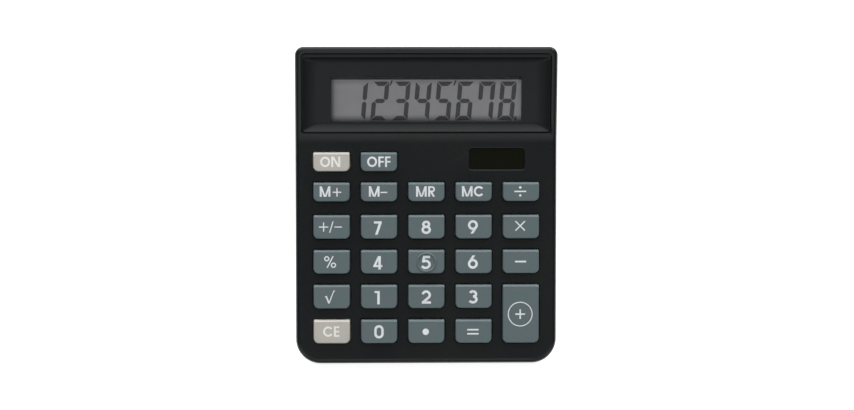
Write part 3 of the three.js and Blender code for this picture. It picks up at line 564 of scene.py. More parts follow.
def soften(piece: Object, sharp: float) -> None:
    """Shades a piece smoothly, with edges past an angle in degrees kept sharp."""
    mesh = piece.data
    mesh.polygons.foreach_set("use_smooth", [True] * len(mesh.polygons))
    mesh.set_sharp_from_angle(angle=math.radians(sharp))
    modifier = piece.modifiers.new("weighted", "WEIGHTED_NORMAL")
    modifier.keep_sharp = True
    bake(piece)


def settle(
    piece: Object, body: str, finish: Finish, *nodes: str, sharp: float | None = SHARP_ANGLE
) -> None:
    """Gives a finished piece its shading, its material and its body.

    Args:
        piece: The piece, at the origin.
        body: The body that it rides on.
        finish: Its finish.
        nodes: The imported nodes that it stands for.
        sharp: The angle in degrees from which edges stay sharp, or None for a piece that stays flat.
    """
    if sharp is not None:
        soften(piece, sharp)
    piece.data.materials.clear()
    piece.data.materials.append(finish.material())
    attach(piece, body)
    if nodes:
        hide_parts(*nodes)
    log.info("%s on %s: %d faces", piece.name, body, len(piece.data.polygons))


def dress(node: str, finish: Finish) -> None:
    """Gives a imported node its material."""
    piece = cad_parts[node]
    for slot in piece.material_slots:
        slot.material = finish.material()
    log.info("%s dressed", node)


def arc(centre: Point2, radii: Point2, start: float, end: float, steps: int) -> list[Point2]:
    """Returns one point more than the steps, on an arc of an ellipse between two angles in degrees."""
    turns = [math.radians(start + (end - start) * i / steps) for i in range(steps + 1)]
    return [(centre[0] + radii[0] * math.cos(a), centre[1] + radii[1] * math.sin(a)) for a in turns]


def rounding(steps: int) -> list[Point2]:
    """Returns how far a rounded edge lies inwards and down, in shares of its radius, from the wall up."""
    angles = [math.radians(90) * i / steps for i in range(steps + 1)]
    return [(1 - math.cos(angle), 1 - math.sin(angle)) for angle in angles]


LIP_COURSE = rounding(LIP_STEPS)


@dataclass(frozen=True)
class Outline:
    """A rounded rectangle, straight across the front and the rear, mirrored in x."""

    width: float
    front: float
    rear: float
    front_corner: float
    rear_corner: float
    front_steps: int = 8
    rear_steps: int = 8
    stops: tuple[float, ...] = ()

    def points(self, spread: float = 0.0) -> list[Point2]:
        """Returns the outline moved outwards by a spread, counterclockwise from the front right."""
        half = self.width / 2
        front = (half - self.front_corner, self.front + self.front_corner)
        rear = (half - self.rear_corner, self.rear - self.rear_corner)
        front_radius = self.front_corner + spread
        rear_radius = self.rear_corner + spread
        right = [
            *arc(front, (front_radius, front_radius), -90, 0, self.front_steps),
            *((half + spread, y) for y in self.stops),
            *arc(rear, (rear_radius, rear_radius), 0, 90, self.rear_steps),
        ]
        return right + [(-x, y) for x, y in reversed(right)]

    def drawn_in(self, side: float, front: float, rear: float, corner: float) -> "Outline":
        """Returns a smaller outline with four equal corners."""
        return Outline(self.width - 2 * side, self.front + front, self.rear - rear, corner, corner)

    def ring(self, face: SlopedFace, out: float, spread: float = 0.0) -> list[Vector]:
        """Returns the outline on a face, raised out of it."""
        return [face.point(x, y, out) for x, y in self.points(spread)]

    def slab(self, face: SlopedFace, bottom: float, top: float, spread: float = 0.0) -> Object:
        """Returns a straight solid on the outline."""
        return loft([self.ring(face, bottom, spread), self.ring(face, top, spread)])

    def opening(self, face: SlopedFace, bottom: float, lip: float, spread: float = 0.0) -> Object:
        """Returns a cutter whose upper edge flares, so that the cut gets a rounded lip."""
        flare = [self.ring(face, -lip * down, spread + lip * inwards) for inwards, down in LIP_COURSE]
        return loft([self.ring(face, bottom, spread), *flare, self.ring(face, OVERRUN, spread + lip)])


def block(face: SlopedFace, middle: Point2, size: Point2, bottom: float, top: float) -> Object:
    """Returns a straight block on a face."""
    xs = (middle[0] + size[0] / 2, middle[0] - size[0] / 2)
    ys = (middle[1] - size[1] / 2, middle[1] + size[1] / 2)
    corners = [(xs[0], ys[0]), (xs[0], ys[1]), (xs[1], ys[1]), (xs[1], ys[0])]
    return loft([[face.point(x, y, out) for x, y in corners] for out in (bottom, top)])


def turned(
    face: SlopedFace, middle: Point2, section: Iterable[Point2], name: str = "tool", sides: int = 40
) -> Object:
    """Returns a round solid that stands on a face, from pairs of radius and height."""
    half = 180 / sides
    rings = []
    for radius, out in section:
        around = arc(middle, (radius, radius), half - 90, 270 - half, sides - 1)
        rings.append([face.point(x, y, out) for x, y in around])
    return loft(rings, name)


def post(face: SlopedFace, middle: Point2, radius: float, bottom: float, top: float) -> Object:
    """Returns a round post on a face."""
    return turned(face, middle, ((radius, bottom), (radius, top)))


@dataclass(frozen=True)
class CaseForm:
    """Outline, slopes and heights that the two housings share."""

    front_height: float = 10.2 * MM
    display_depth: float = 37.3 * MM
    front_corner: float = 10 * MM
    rear_corner: float = 3.4 * MM
    top_edge: float = 1.8 * MM
    bottom_edge: float = 1.2 * MM
    roof: float = 1.8 * MM
    wall: float = 2.2 * MM
    floor: float = 1.8 * MM
    parting_depth: float = 5 * MM
    lip: float = 1 * MM
    tongue: float = 1 * MM
    crease_reach: float = 2 * MM
    crease_stops: tuple[float, ...] = (-1, -0.5, 0, 0.5, 1)
    keyboard_slope: float = math.radians(4)
    display_slope: float = math.radians(12)
    edge_steps: int = 8
    front_steps: int = 18
    rear_steps: int = 12

    @property
    def half_length(self) -> float:
        """Half of the case's length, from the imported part."""
        return packed_box("top_housing")[1].y

    @property
    def half_width(self) -> float:
        """Half of the case's width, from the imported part."""
        return packed_box("top_housing")[1].x

    @property
    def base(self) -> float:
        """Height of the underside above the table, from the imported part."""
        return packed_box("bottom_housing")[0].z

    @property
    def ceiling(self) -> float:
        """Greatest height of the case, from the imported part."""
        return packed_box("top_housing")[1].z

    @property
    def crease(self) -> float:
        """Where the key field meets the display field."""
        return self.half_length - self.display_depth

    def keyboard_top(self, y: float) -> float:
        """Returns the height of the key field."""
        return self.front_height + (y + self.half_length) * math.tan(self.keyboard_slope)

    def display_top(self, y: float) -> float:
        """Returns the height of the display field."""
        return self.keyboard_top(self.crease) + (y - self.crease) * math.tan(self.display_slope)

    def top(self, y: float) -> float:
        """Returns the height of the upper face, with the crease drawn out into a soft curve."""
        away = (y - self.crease) / self.crease_reach
        bend = math.tan(self.display_slope) - math.tan(self.keyboard_slope)
        if abs(away) >= 1:
            return max(self.keyboard_top(y), self.display_top(y))
        return self.keyboard_top(y) + bend * self.crease_reach * (away + 1) ** 2 / 4

    def roof_face(self, y: float) -> float:
        """Returns the height of the roof's underside."""
        return max(
            self.keyboard_top(y) - self.roof / math.cos(self.keyboard_slope),
            self.display_top(y) - self.roof / math.cos(self.display_slope),
        )

    def seam(self, y: float) -> float:
        """Returns the height where the upper housing ends."""
        return self.keyboard_top(y) - self.parting_depth / math.cos(self.keyboard_slope)

    def over_seam(self, rise: float) -> Height:
        """Returns a height that stays the same distance above the seam."""
        return lambda y: self.seam(y) + rise

    @property
    def keyboard(self) -> SlopedFace:
        """The key field."""
        return SlopedFace(Vector((0.0, 0.0, self.keyboard_top(0.0))), self.keyboard_slope)

    @property
    def display(self) -> SlopedFace:
        """The display field, with its origin on the crease."""
        origin = Vector((0.0, self.crease, self.keyboard_top(self.crease)))
        return SlopedFace(origin, self.display_slope)

    @property
    def outline(self) -> Outline:
        """The outline of the whole case, with stops across the crease."""
        return Outline(
            width=2 * self.half_width,
            front=-self.half_length,
            rear=self.half_length,
            front_corner=self.front_corner,
            rear_corner=self.rear_corner,
            front_steps=self.front_steps,
            rear_steps=self.rear_steps,
            stops=tuple(self.crease + self.crease_reach * share for share in self.crease_stops),
        )

    def level(self, inset: float, height: Height) -> list[Vector]:
        """Returns the outline, drawn in by an inset, at a height that depends on y."""
        return [Vector((x, y, min(height(y), self.ceiling))) for x, y in self.outline.points(-inset)]

    def edge(self, radius: float, height: Height, side: int) -> list[list[Vector]]:
        """Returns the rings of a rounded edge, from the wall to the face."""
        rings = []
        for inwards, down in rounding(self.edge_steps):
            drop = side * radius * down
            rings.append(self.level(radius * inwards, lambda y: height(y) - drop))
        return rings

    def core(self, inset: float, low: Height, high: Height) -> Object:
        """Returns a solid with upright walls inside the outline."""
        return loft([self.level(inset, low), self.level(inset, high)])

    def upper_form(self, name: str = "tool") -> Object:
        """Returns the outer form of the upper housing, full inside."""
        return loft([self.level(0.0, self.seam), *self.edge(self.top_edge, self.top, 1)], name)


@dataclass
class KeyPlace:
    """A key's place on the key field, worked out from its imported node."""

    node: str
    x: float
    up: float
    width: float
    depth: float

    @property
    def label(self) -> str:
        """The key's own name, without its prefix."""
        return self.node.removeprefix("key_")

    @property
    def front(self) -> float:
        """Where the key starts, up the slope."""
        return self.up - self.depth / 2

    @property
    def rear(self) -> float:
        """Where the key ends, up the slope."""
        return self.up + self.depth / 2


@dataclass
class KeyCap:
    """Sizes of the moulded key caps."""

    proud: float = 2.5 * MM
    front_corner: float = 2 * MM
    rear_corner: float = 0.5 * MM
    draft: float = 0.1 * MM
    shoulder: float = 0.55 * MM
    bevel: float = 0.4 * MM
    rear_bevel: float = 0.7 * MM
    rear_flatness: float = 0.85
    top_wall: float = 1.3 * MM
    side_wall: float = 1.2 * MM
    flange: float = 0.7 * MM
    flange_top: float = -2.1 * MM
    flange_bottom: float = -2.9 * MM
    flange_edge: float = 0.15 * MM
    hollow_corner: float = 0.8 * MM
    bevel_steps: int = 6

    def place(self, node: str, face: SlopedFace) -> KeyPlace:
        """Works out where a key sits on the key field.

        Args:
            node: The key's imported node.
            face: The key field.

        Returns:
            The middle, width and depth of the key, without its flange.
        """
        low, high = packed_box(node)
        sine, cosine = math.sin(face.slope), math.cos(face.slope)
        front = (low.y + self.flange_top * sine) / cosine
        rear = (high.y + self.flange_bottom * sine) / cosine
        grown = 2 * (self.draft + self.flange)
        x, up = (low.x + high.x) / 2, (front + rear) / 2
        return KeyPlace(node, x, up, high.x - low.x - grown, rear - front - grown)

    def outline(self, key: KeyPlace) -> Outline:
        """Returns the key's outline on the key field."""
        return Outline(key.width, key.front, key.rear, self.front_corner, self.rear_corner)

    def shoulder_ring(self, whole: Outline, face: SlopedFace, share: float) -> list[Vector]:
        """Returns one ring of the rounded shoulder, whose rear side is a wide flat bevel.

        Args:
            whole: The key's outline.
            face: The key field under the key's middle.
            share: 0 at the wall and 1 at the top face.

        Returns:
            The ring.
        """
        angle = math.radians(90) * share
        inwards = 1 - math.cos(angle)
        inset = self.bevel * inwards
        flat, round_off = self.rear_flatness, 1 - self.rear_flatness
        rear_inset = self.rear_bevel * (flat * math.sin(angle) + round_off * inwards)
        width, front, rear = whole.width - 2 * inset, whole.front + inset, whole.rear - rear_inset
        ring = replace(whole, width=width, front=front, rear=rear)
        return ring.ring(face, self.proud - self.shoulder * (1 - math.sin(angle)))

    def mould(self, key: KeyPlace, keyboard: SlopedFace, plunger_radius: float) -> Object:
        """Makes a key cap with its flange, its hollow underside and its plunger."""
        face = keyboard.at(key.x)
        whole = self.outline(key)
        edge = self.flange_edge
        skirt = self.draft + self.flange
        levels = (
            (self.flange_bottom, skirt - edge),
            (self.flange_bottom + edge, skirt),
            (self.flange_top - edge, skirt),
            (self.flange_top, skirt - edge),
            (self.flange_top, self.draft),
        )
        rings = [whole.ring(face, out, spread) for out, spread in levels]
        steps = self.bevel_steps
        rings.extend(self.shoulder_ring(whole, face, i / steps) for i in range(steps + 1))
        cap = loft(rings, f"cap_{key.label}")
        ceiling = self.proud - self.top_wall
        wall = self.side_wall
        hollow = whole.drawn_in(wall, wall, wall, self.hollow_corner)
        carve(cap, [hollow.slab(face, self.flange_bottom - OVERRUN, ceiling)], Carving.CUT)
        plunger = post(face, (0.0, key.up), plunger_radius, self.flange_bottom, ceiling + BOND)
        return carve(cap, [plunger], Carving.JOIN)


def glyph_ring(centre: Point2, radii: Point2, steps: int = 28) -> list[Point2]:
    """Returns a closed path round an ellipse."""
    return arc(centre, radii, 90, 450 - 360 / steps, steps - 1)


Patch = list[Point2]
MITRE_LIMIT = 0.3
DOT_STEPS = 24
BOW_STEPS = 18
HALF_TURN_STEPS = 14
BOWL_STEPS = 12


@dataclass(frozen=True)
class Stroke:
    """A path with a width. Lengths of strokes are millimetres."""

    path: tuple[Point2, ...]
    width: float
    closed: bool = False

    def patches(self) -> list[Patch]:
        """Returns the stroke as four-sided patches with mitred joints."""
        path = [Vector(point) for point in self.path]
        count = len(path)
        sides: list[tuple[Vector, Vector]] = []
        for i, point in enumerate(path):
            before = path[i - 1] if self.closed or i > 0 else None
            after = path[(i + 1) % count] if self.closed or i < count - 1 else None
            ways = [(b - a).normalized() for a, b in ((before, point), (point, after)) if a and b]
            normals = [Vector((-way.y, way.x)) for way in ways]
            middle = sum(normals, Vector((0.0, 0.0))).normalized()
            reach = self.width / 2 / max(middle.dot(normals[0]), MITRE_LIMIT)
            sides.append((point + middle * reach, point - middle * reach))
        pairs = zip(sides, sides[1:] + sides[:1]) if self.closed else zip(sides, sides[1:])
        return [[tuple(a[1]), tuple(b[1]), tuple(b[0]), tuple(a[0])] for a, b in pairs]


@dataclass(frozen=True)
class Dot:
    """A round dot. Its lengths are millimetres."""

    centre: Point2
    radius: float

    def patches(self) -> list[Patch]:
        """Returns the dot as one patch."""
        return [glyph_ring(self.centre, (self.radius, self.radius), DOT_STEPS)]


Mark = Stroke | Dot
Glyph = tuple[float, list[Mark]]


def clip(patch: Patch, level: float, keep_below: bool) -> Patch:
    """Cuts off what lies past a level.

    Args:
        patch: The corners of a patch.
        level: The height of the cut.
        keep_below: Whether what lies under the level stays.

    Returns:
        The corners of what is left.
    """
    side = 1 if keep_below else -1
    kept: Patch = []
    for (ax, ay), (bx, by) in zip(patch, [*patch[1:], patch[0]]):
        inside_a = side * (level - ay) >= 0
        inside_b = side * (level - by) >= 0
        if inside_a:
            kept.append((ax, ay))
        if inside_a != inside_b:
            share = (level - ay) / (by - ay)
            kept.append((ax + (bx - ax) * share, level))
    return kept


@dataclass(frozen=True)
class Lettering:
    """Figures, letters and signs of even stroke, drawn in millimetres from a lower left corner."""

    height: float
    stroke: float
    sink: float = 0.0

    def line(self, start: Point2, end: Point2, share: float = 1.0) -> Stroke:
        """Returns a straight stroke, whose width is a share of the lettering's."""
        return Stroke((start, end), share * self.stroke)

    def bar(self, y: float, end: float, start: float = 0.0, share: float = 1.0) -> Stroke:
        """Returns a level stroke."""
        return self.line((start, y), (end, y), share)

    def loop(self, centre: Point2, radii: Point2) -> Stroke:
        """Returns a closed round stroke whose outer edge has the given radii."""
        half = self.stroke / 2
        return Stroke(tuple(glyph_ring(centre, (radii[0] - half, radii[1] - half))), self.stroke, True)

    def bow(self, centre: Point2, radii: Point2, start: float, end: float, *tail: Point2) -> Stroke:
        """Returns an open round stroke whose outer edge has the given radii, with a straight tail."""
        half = self.stroke / 2
        path = arc(centre, (radii[0] - half, radii[1] - half), start, end, BOW_STEPS)
        return Stroke((*path, *tail), self.stroke)

    def stem(self, x: float) -> Stroke:
        """Returns an upright stroke as high as the lettering, with its middle at x."""
        return self.line((x, 0.0), (x, self.height))

    def marks(self, sign: str) -> Glyph:
        """Returns the width of a figure, letter or sign, and its marks."""
        return GLYPHS[sign](self)

    def zero(self) -> Glyph:
        """Returns the figure 0."""
        width, half = 3.8, self.stroke / 2
        radius = width / 2 - half
        top = arc((width / 2, self.height - width / 2), (radius, radius), 0, 180, HALF_TURN_STEPS)
        bottom = arc((width / 2, width / 2), (radius, radius), 180, 360, HALF_TURN_STEPS)
        return width, [Stroke((*top, *bottom), self.stroke, True)]

    def one(self) -> Glyph:
        """Returns the figure 1."""
        width, s = 2.05, self.stroke
        flag = self.height - 0.42 * s
        return width, [self.stem(width - s / 2), self.bar(flag, width - s / 2, share=0.84)]

    def two(self) -> Glyph:
        """Returns the figure 2."""
        width, s = 3.8, self.stroke
        centre = (width / 2, self.height - width / 2)
        bow = self.bow(centre, (width / 2, width / 2), 168, -38, (0.5 * s, 0.5 * s))
        return width, [bow, self.bar(s / 2, width, 0.12)]

    def three(self) -> Glyph:
        """Returns the figure 3."""
        width, s = 3.85, self.stroke
        waist = self.height * 0.53
        upper = ((self.height - waist) + s / 2) / 2
        lower = (waist + s / 2) / 2
        return width, [
            self.bow((width / 2, self.height - upper), (width / 2 - 0.2, upper), 155, -88),
            self.bow((width / 2, lower), (width / 2, lower), 88, -155),
        ]

    def four(self) -> Glyph:
        """Returns the figure 4."""
        width, s = 3.65, self.stroke
        bar = self.height * 0.26
        x = width * 0.7
        return width, [
            self.stem(x),
            self.bar(bar, width, 0.05, 0.85),
            self.line((x, self.height + 0.3 * s), (0.42 * s, bar - 0.2 * s), 0.9),
        ]

    def five(self) -> Glyph:
        """Returns the figure 5."""
        width, s = 3.9, self.stroke
        radius = width * 0.49
        top = self.height - s / 2
        return width, [
            self.bar(top, width * 0.92, width * 0.2),
            self.line((width * 0.3, top), (width * 0.2, self.height * 0.5)),
            self.bow((width * 0.46, radius), (width * 0.54, radius), 128, -152),
        ]

    def six(self) -> Glyph:
        """Returns the figure 6."""
        width, s = 4.0, self.stroke
        radius = width / 2
        tail = self.line((0.52 * s, radius * 1.18), (width * 0.68, self.height + 0.5 * s))
        return width, [self.loop((radius, radius), (radius, radius)), tail]

    def seven(self) -> Glyph:
        """Returns the figure 7."""
        width, s = 3.3, self.stroke
        top = self.height - 0.45 * s
        return width, [
            self.bar(top, width - 0.2 * s, share=0.9),
            self.line((width - 0.62 * s, self.height - 0.2 * s), (width * 0.24, -0.5 * s)),
        ]

    def eight(self) -> Glyph:
        """Returns the figure 8."""
        width, s = 3.8, self.stroke
        upper = self.height * 0.275
        lower = (self.height + s) / 2 - upper
        return width, [
            self.loop((width / 2, self.height - upper), (width / 2 - 0.25, upper)),
            self.loop((width / 2, lower), (width / 2, lower)),
        ]

    def nine(self) -> Glyph:
        """Returns the figure 9, a 6 upside down."""
        width, marks = self.six()
        return width, [
            replace(mark, path=tuple((width - x, self.height - y) for x, y in mark.path)) for mark in marks
        ]

    def letter_o(self) -> Glyph:
        """Returns the letter O."""
        width = self.height * 0.95
        return width, [self.loop((width / 2, self.height / 2), (width / 2, self.height / 2))]

    def letter_n(self) -> Glyph:
        """Returns the letter N."""
        width, s = self.height * 0.86, self.stroke
        reach = 0.5 * s
        slant = self.line((0.45 * s, self.height + reach), (width - 0.45 * s, -reach))
        return width, [self.stem(s / 2), self.stem(width - s / 2), slant]

    def letter_f(self) -> Glyph:
        """Returns the letter F."""
        width, s = self.height * 0.52, self.stroke
        bars = (self.height - 0.42 * s, self.height * 0.5)
        return width, [self.stem(s / 2), *(self.bar(y, width, share=0.84) for y in bars)]

    def letter_e(self) -> Glyph:
        """Returns the letter E."""
        width, marks = self.letter_f()
        return width, [*marks, self.bar(0.42 * self.stroke, width, share=0.84)]

    def letter_c(self) -> Glyph:
        """Returns the letter C."""
        radius = self.height / 2
        return self.height * 0.92, [self.bow((radius, radius), (radius, radius), 38, 322)]

    def letter_m(self) -> Glyph:
        """Returns the letter M."""
        width, s = self.height, self.stroke
        top = self.height + 0.4 * s
        low = -0.1 * self.height
        return width, [
            self.stem(0.46 * s),
            self.stem(width - 0.46 * s),
            self.line((0.42 * s, top), (width / 2, low), 0.86),
            self.line((width - 0.42 * s, top), (width / 2, low), 0.86),
        ]

    def letter_r(self) -> Glyph:
        """Returns the letter R."""
        width, s = self.height * 0.68, self.stroke
        radius = self.height * 0.29
        middle = self.height - radius
        half = 0.84 * s / 2
        path = arc((width - radius - 0.1, middle), (radius - half, radius - half), 90, -90, BOWL_STEPS)
        bowl = Stroke(((0.0, path[0][1]), *path, (0.0, path[-1][1])), 0.84 * s)
        leg = self.line((width * 0.42, middle - radius + 0.2 * s), (width - 0.45 * s, -0.3 * s))
        return width, [self.stem(s / 2), bowl, leg]

    def plus(self) -> Glyph:
        """Returns a plus sign."""
        reach = self.height * 0.42
        y = self.height / 2
        return 2 * reach, [self.bar(y, 2 * reach), self.line((reach, y - reach), (reach, y + reach))]

    def minus(self) -> Glyph:
        """Returns a minus sign."""
        width = self.height * 0.76
        return width, [self.bar(self.height / 2, width)]

    def times(self) -> Glyph:
        """Returns a multiplication sign."""
        side = self.height
        return side, [self.line((0.0, 0.0), (side, side)), self.line((0.0, side), (side, 0.0))]

    def divide(self) -> Glyph:
        """Returns a division sign."""
        width, y = self.height * 1.12, self.height / 2
        dot = self.height * 0.12
        dots = [Dot((width / 2, place), dot) for place in (dot, self.height - dot)]
        return width, [self.bar(y, width), *dots]

    def equals(self) -> Glyph:
        """Returns an equals sign."""
        width = self.height * 2
        bars = (self.stroke / 2, self.height - self.stroke / 2)
        return width, [self.bar(y, width) for y in bars]

    def point(self) -> Glyph:
        """Returns a decimal point."""
        radius = self.height / 2
        return self.height, [Dot((radius, radius), radius)]

    def root(self) -> Glyph:
        """Returns a root sign: a thin tick, a thick down stroke and a thin rise with a short roof."""
        width, h, s = self.height * 0.76, self.height, self.stroke
        foot = (width * 0.4, 0.02 * h)
        return width, [
            self.line((0.0, h * 0.5), (width * 0.15, h * 0.55), 0.8),
            self.line((width * 0.12, h * 0.58), foot, 1.2),
            self.line(foot, (width * 0.88, h - 0.4 * s), 0.8),
            self.line((width * 0.85, h - 0.4 * s), (width, h - 0.5 * s), 0.8),
        ]

    def percent(self) -> Glyph:
        """Returns a percent sign."""
        width, h, radius = self.height * 1.02, self.height, self.height * 0.225
        return width, [
            self.line((width * 0.2, -0.1 * h), (width * 0.8, 1.1 * h)),
            self.loop((radius, h - radius), (radius, radius)),
            self.loop((width - radius, radius), (radius, radius)),
        ]

    def slash(self) -> Glyph:
        """Returns a slash."""
        width = self.height * 0.36
        return width, [self.line((0.0, -0.1 * self.height), (width, 1.1 * self.height))]


SIGNS = "0123456789ONFECMR+-x:=.v%/"
SHAPES = (
    Lettering.zero, Lettering.one, Lettering.two, Lettering.three, Lettering.four, Lettering.five,
    Lettering.six, Lettering.seven, Lettering.eight, Lettering.nine, Lettering.letter_o,
    Lettering.letter_n, Lettering.letter_f, Lettering.letter_e, Lettering.letter_c, Lettering.letter_m,
    Lettering.letter_r, Lettering.plus, Lettering.minus, Lettering.times, Lettering.divide,
    Lettering.equals, Lettering.point, Lettering.root, Lettering.percent, Lettering.slash,
)
GLYPHS: dict[str, Callable[[Lettering], Glyph]] = dict(zip(SIGNS, SHAPES))
PAST_THE_LINES = "x+"


@dataclass(frozen=True)
class Legend:
    """The signs on one key, each with its lettering, and the gaps between them in millimetres."""

    signs: tuple[tuple[str, Lettering], ...]
    gap: float
    shift: Point2

    def patches(self) -> list[Patch]:
        """Returns the patches of all signs, centred on the origin."""
        glyphs = [(sign, style, *style.marks(sign)) for sign, style in self.signs]
        x = -(sum(width for _, _, width, _ in glyphs) + self.gap * (len(glyphs) - 1)) / 2
        found = []
        for sign, style, width, marks in glyphs:
            drop = style.height / 2 + style.sink
            for patch in (patch for mark in marks for patch in mark.patches()):
                if sign not in PAST_THE_LINES:
                    patch = clip(clip(patch, style.height, True), 0.0, False)
                if len(patch) > 2:
                    found.append([(px + x, py - drop) for px, py in patch])
            x += width + self.gap
        return found


FIGURE_STYLE = Lettering(5.4, 0.98)
WORD_STYLE = Lettering(4.2, 0.8)
SIGN_STYLE = Lettering(4.1, 0.48)
DIGIT_SHIFTS = (
    (-0.1, -0.05),
    (-0.8, -0.3),
    (-0.1, -0.1),
    (-0.3, -0.1),
    (-0.55, -0.3),
    (-0.2, -0.2),
    (-0.35, -0.1),
    (-0.4, -0.35),
    (-0.1, -0.1),
    (-0.35, 0.05),
)


def word(signs: str, style: Lettering, shift: Point2, gap: float = 0.45) -> Legend:
    """Returns a legend with one lettering for all its signs."""
    return Legend(tuple((sign, style) for sign in signs), gap, shift)


LEGENDS = {
    "key_on": word("ON", WORD_STYLE, (-0.5, 0.1)),
    "key_off": word("OFF", WORD_STYLE, (-0.08, 0.1), 0.5),
    "key_ce": word("CE", WORD_STYLE, (-0.3, 0.1), 0.5),
    "key_mr": word("MR", WORD_STYLE, (-0.3, 0.25), 0.6),
    "key_mc": word("MC", WORD_STYLE, (-0.45, 0.3), 0.5),
    "key_m_plus": Legend((("M", WORD_STYLE), ("+", replace(SIGN_STYLE, sink=0.3))), 0.95, (-0.4, 0.3)),
    "key_m_minus": Legend((("M", WORD_STYLE), ("-", Lettering(3.6, 0.5, 0.4))), 0.4, (-0.35, 0.3)),
    "key_sign": Legend(
        (("+", Lettering(4.4, 0.45)), ("/", Lettering(4.6, 0.45)), ("-", Lettering(3.9, 0.45))),
        0.42,
        (-0.48, 0.1),
    ),
    "key_percent": word("%", Lettering(4.7, 0.48), (-0.65, 0.1)),
    "key_root": word("v", Lettering(5.35, 0.5), (-0.75, 0.0)),
    "key_divide": word(":", Lettering(4.2, 0.55), (-0.35, 0.2)),
    "key_multiply": word("x", Lettering(3.8, 0.5), (-0.35, 0.4)),
    "key_minus": word("-", Lettering(5.9, 0.72), (-0.15, 0.05)),
    "key_equals": word("=", Lettering(2.3, 0.64), (-0.3, -0.15)),
    "key_point": word(".", Lettering(2.6, 1.0), (-0.3, -0.1)),
    **{f"key_{digit}": word(str(digit), FIGURE_STYLE, shift) for digit, shift in enumerate(DIGIT_SHIFTS)},
}

Placer = Callable[[float, float, float], Vector]
SMALLEST_AREA = 1e-6
MERGE_REACH = 1e-4
WHOLE_HULL = 0


def flat_slab(
    patches: Sequence[Sequence[Point2]], place: Placer, low: float, high: float, name: str
) -> Object:
    """Makes one thin slab of overlapping flat patches.

    Args:
        patches: The patches' corners, counterclockwise or not.
        place: Gives the place in the scene of a point and a height out of the face.
        low: The height of the underside.
        high: The height of the top.
        name: The slab's name.

    Returns:
        The slab.
    """
    corners: list[Vector] = []
    loops: list[list[int]] = []
    for patch in patches:
        area = sum(ax * by - bx * ay for (ax, ay), (bx, by) in zip(patch, [*patch[1:], patch[0]]))
        if abs(area) < SMALLEST_AREA:
            continue
        ordered = patch if area > 0 else patch[::-1]
        loops.append(list(range(len(corners), len(corners) + len(ordered))))
        corners.extend(Vector(point) for point in ordered)
    points, _, faces, _, _, sources = delaunay_2d_cdt(corners, [], loops, WHOLE_HULL, MERGE_REACH)
    kept = [face for face, source in zip(faces, sources) if source]
    skin = Skin()
    top = skin.ring(place(p.x, p.y, high) for p in points)
    bottom = skin.ring(place(p.x, p.y, low) for p in points)
    directed = {(face[i], face[(i + 1) % len(face)]) for face in kept for i in range(len(face))}
    for face in kept:
        skin.faces.append(tuple(top[i] for i in face))
        skin.faces.append(tuple(bottom[i] for i in reversed(face)))
    for a, b in directed:
        if (b, a) not in directed:
            skin.faces.append((top[b], top[a], bottom[a], bottom[b]))
    return skin.piece(name)


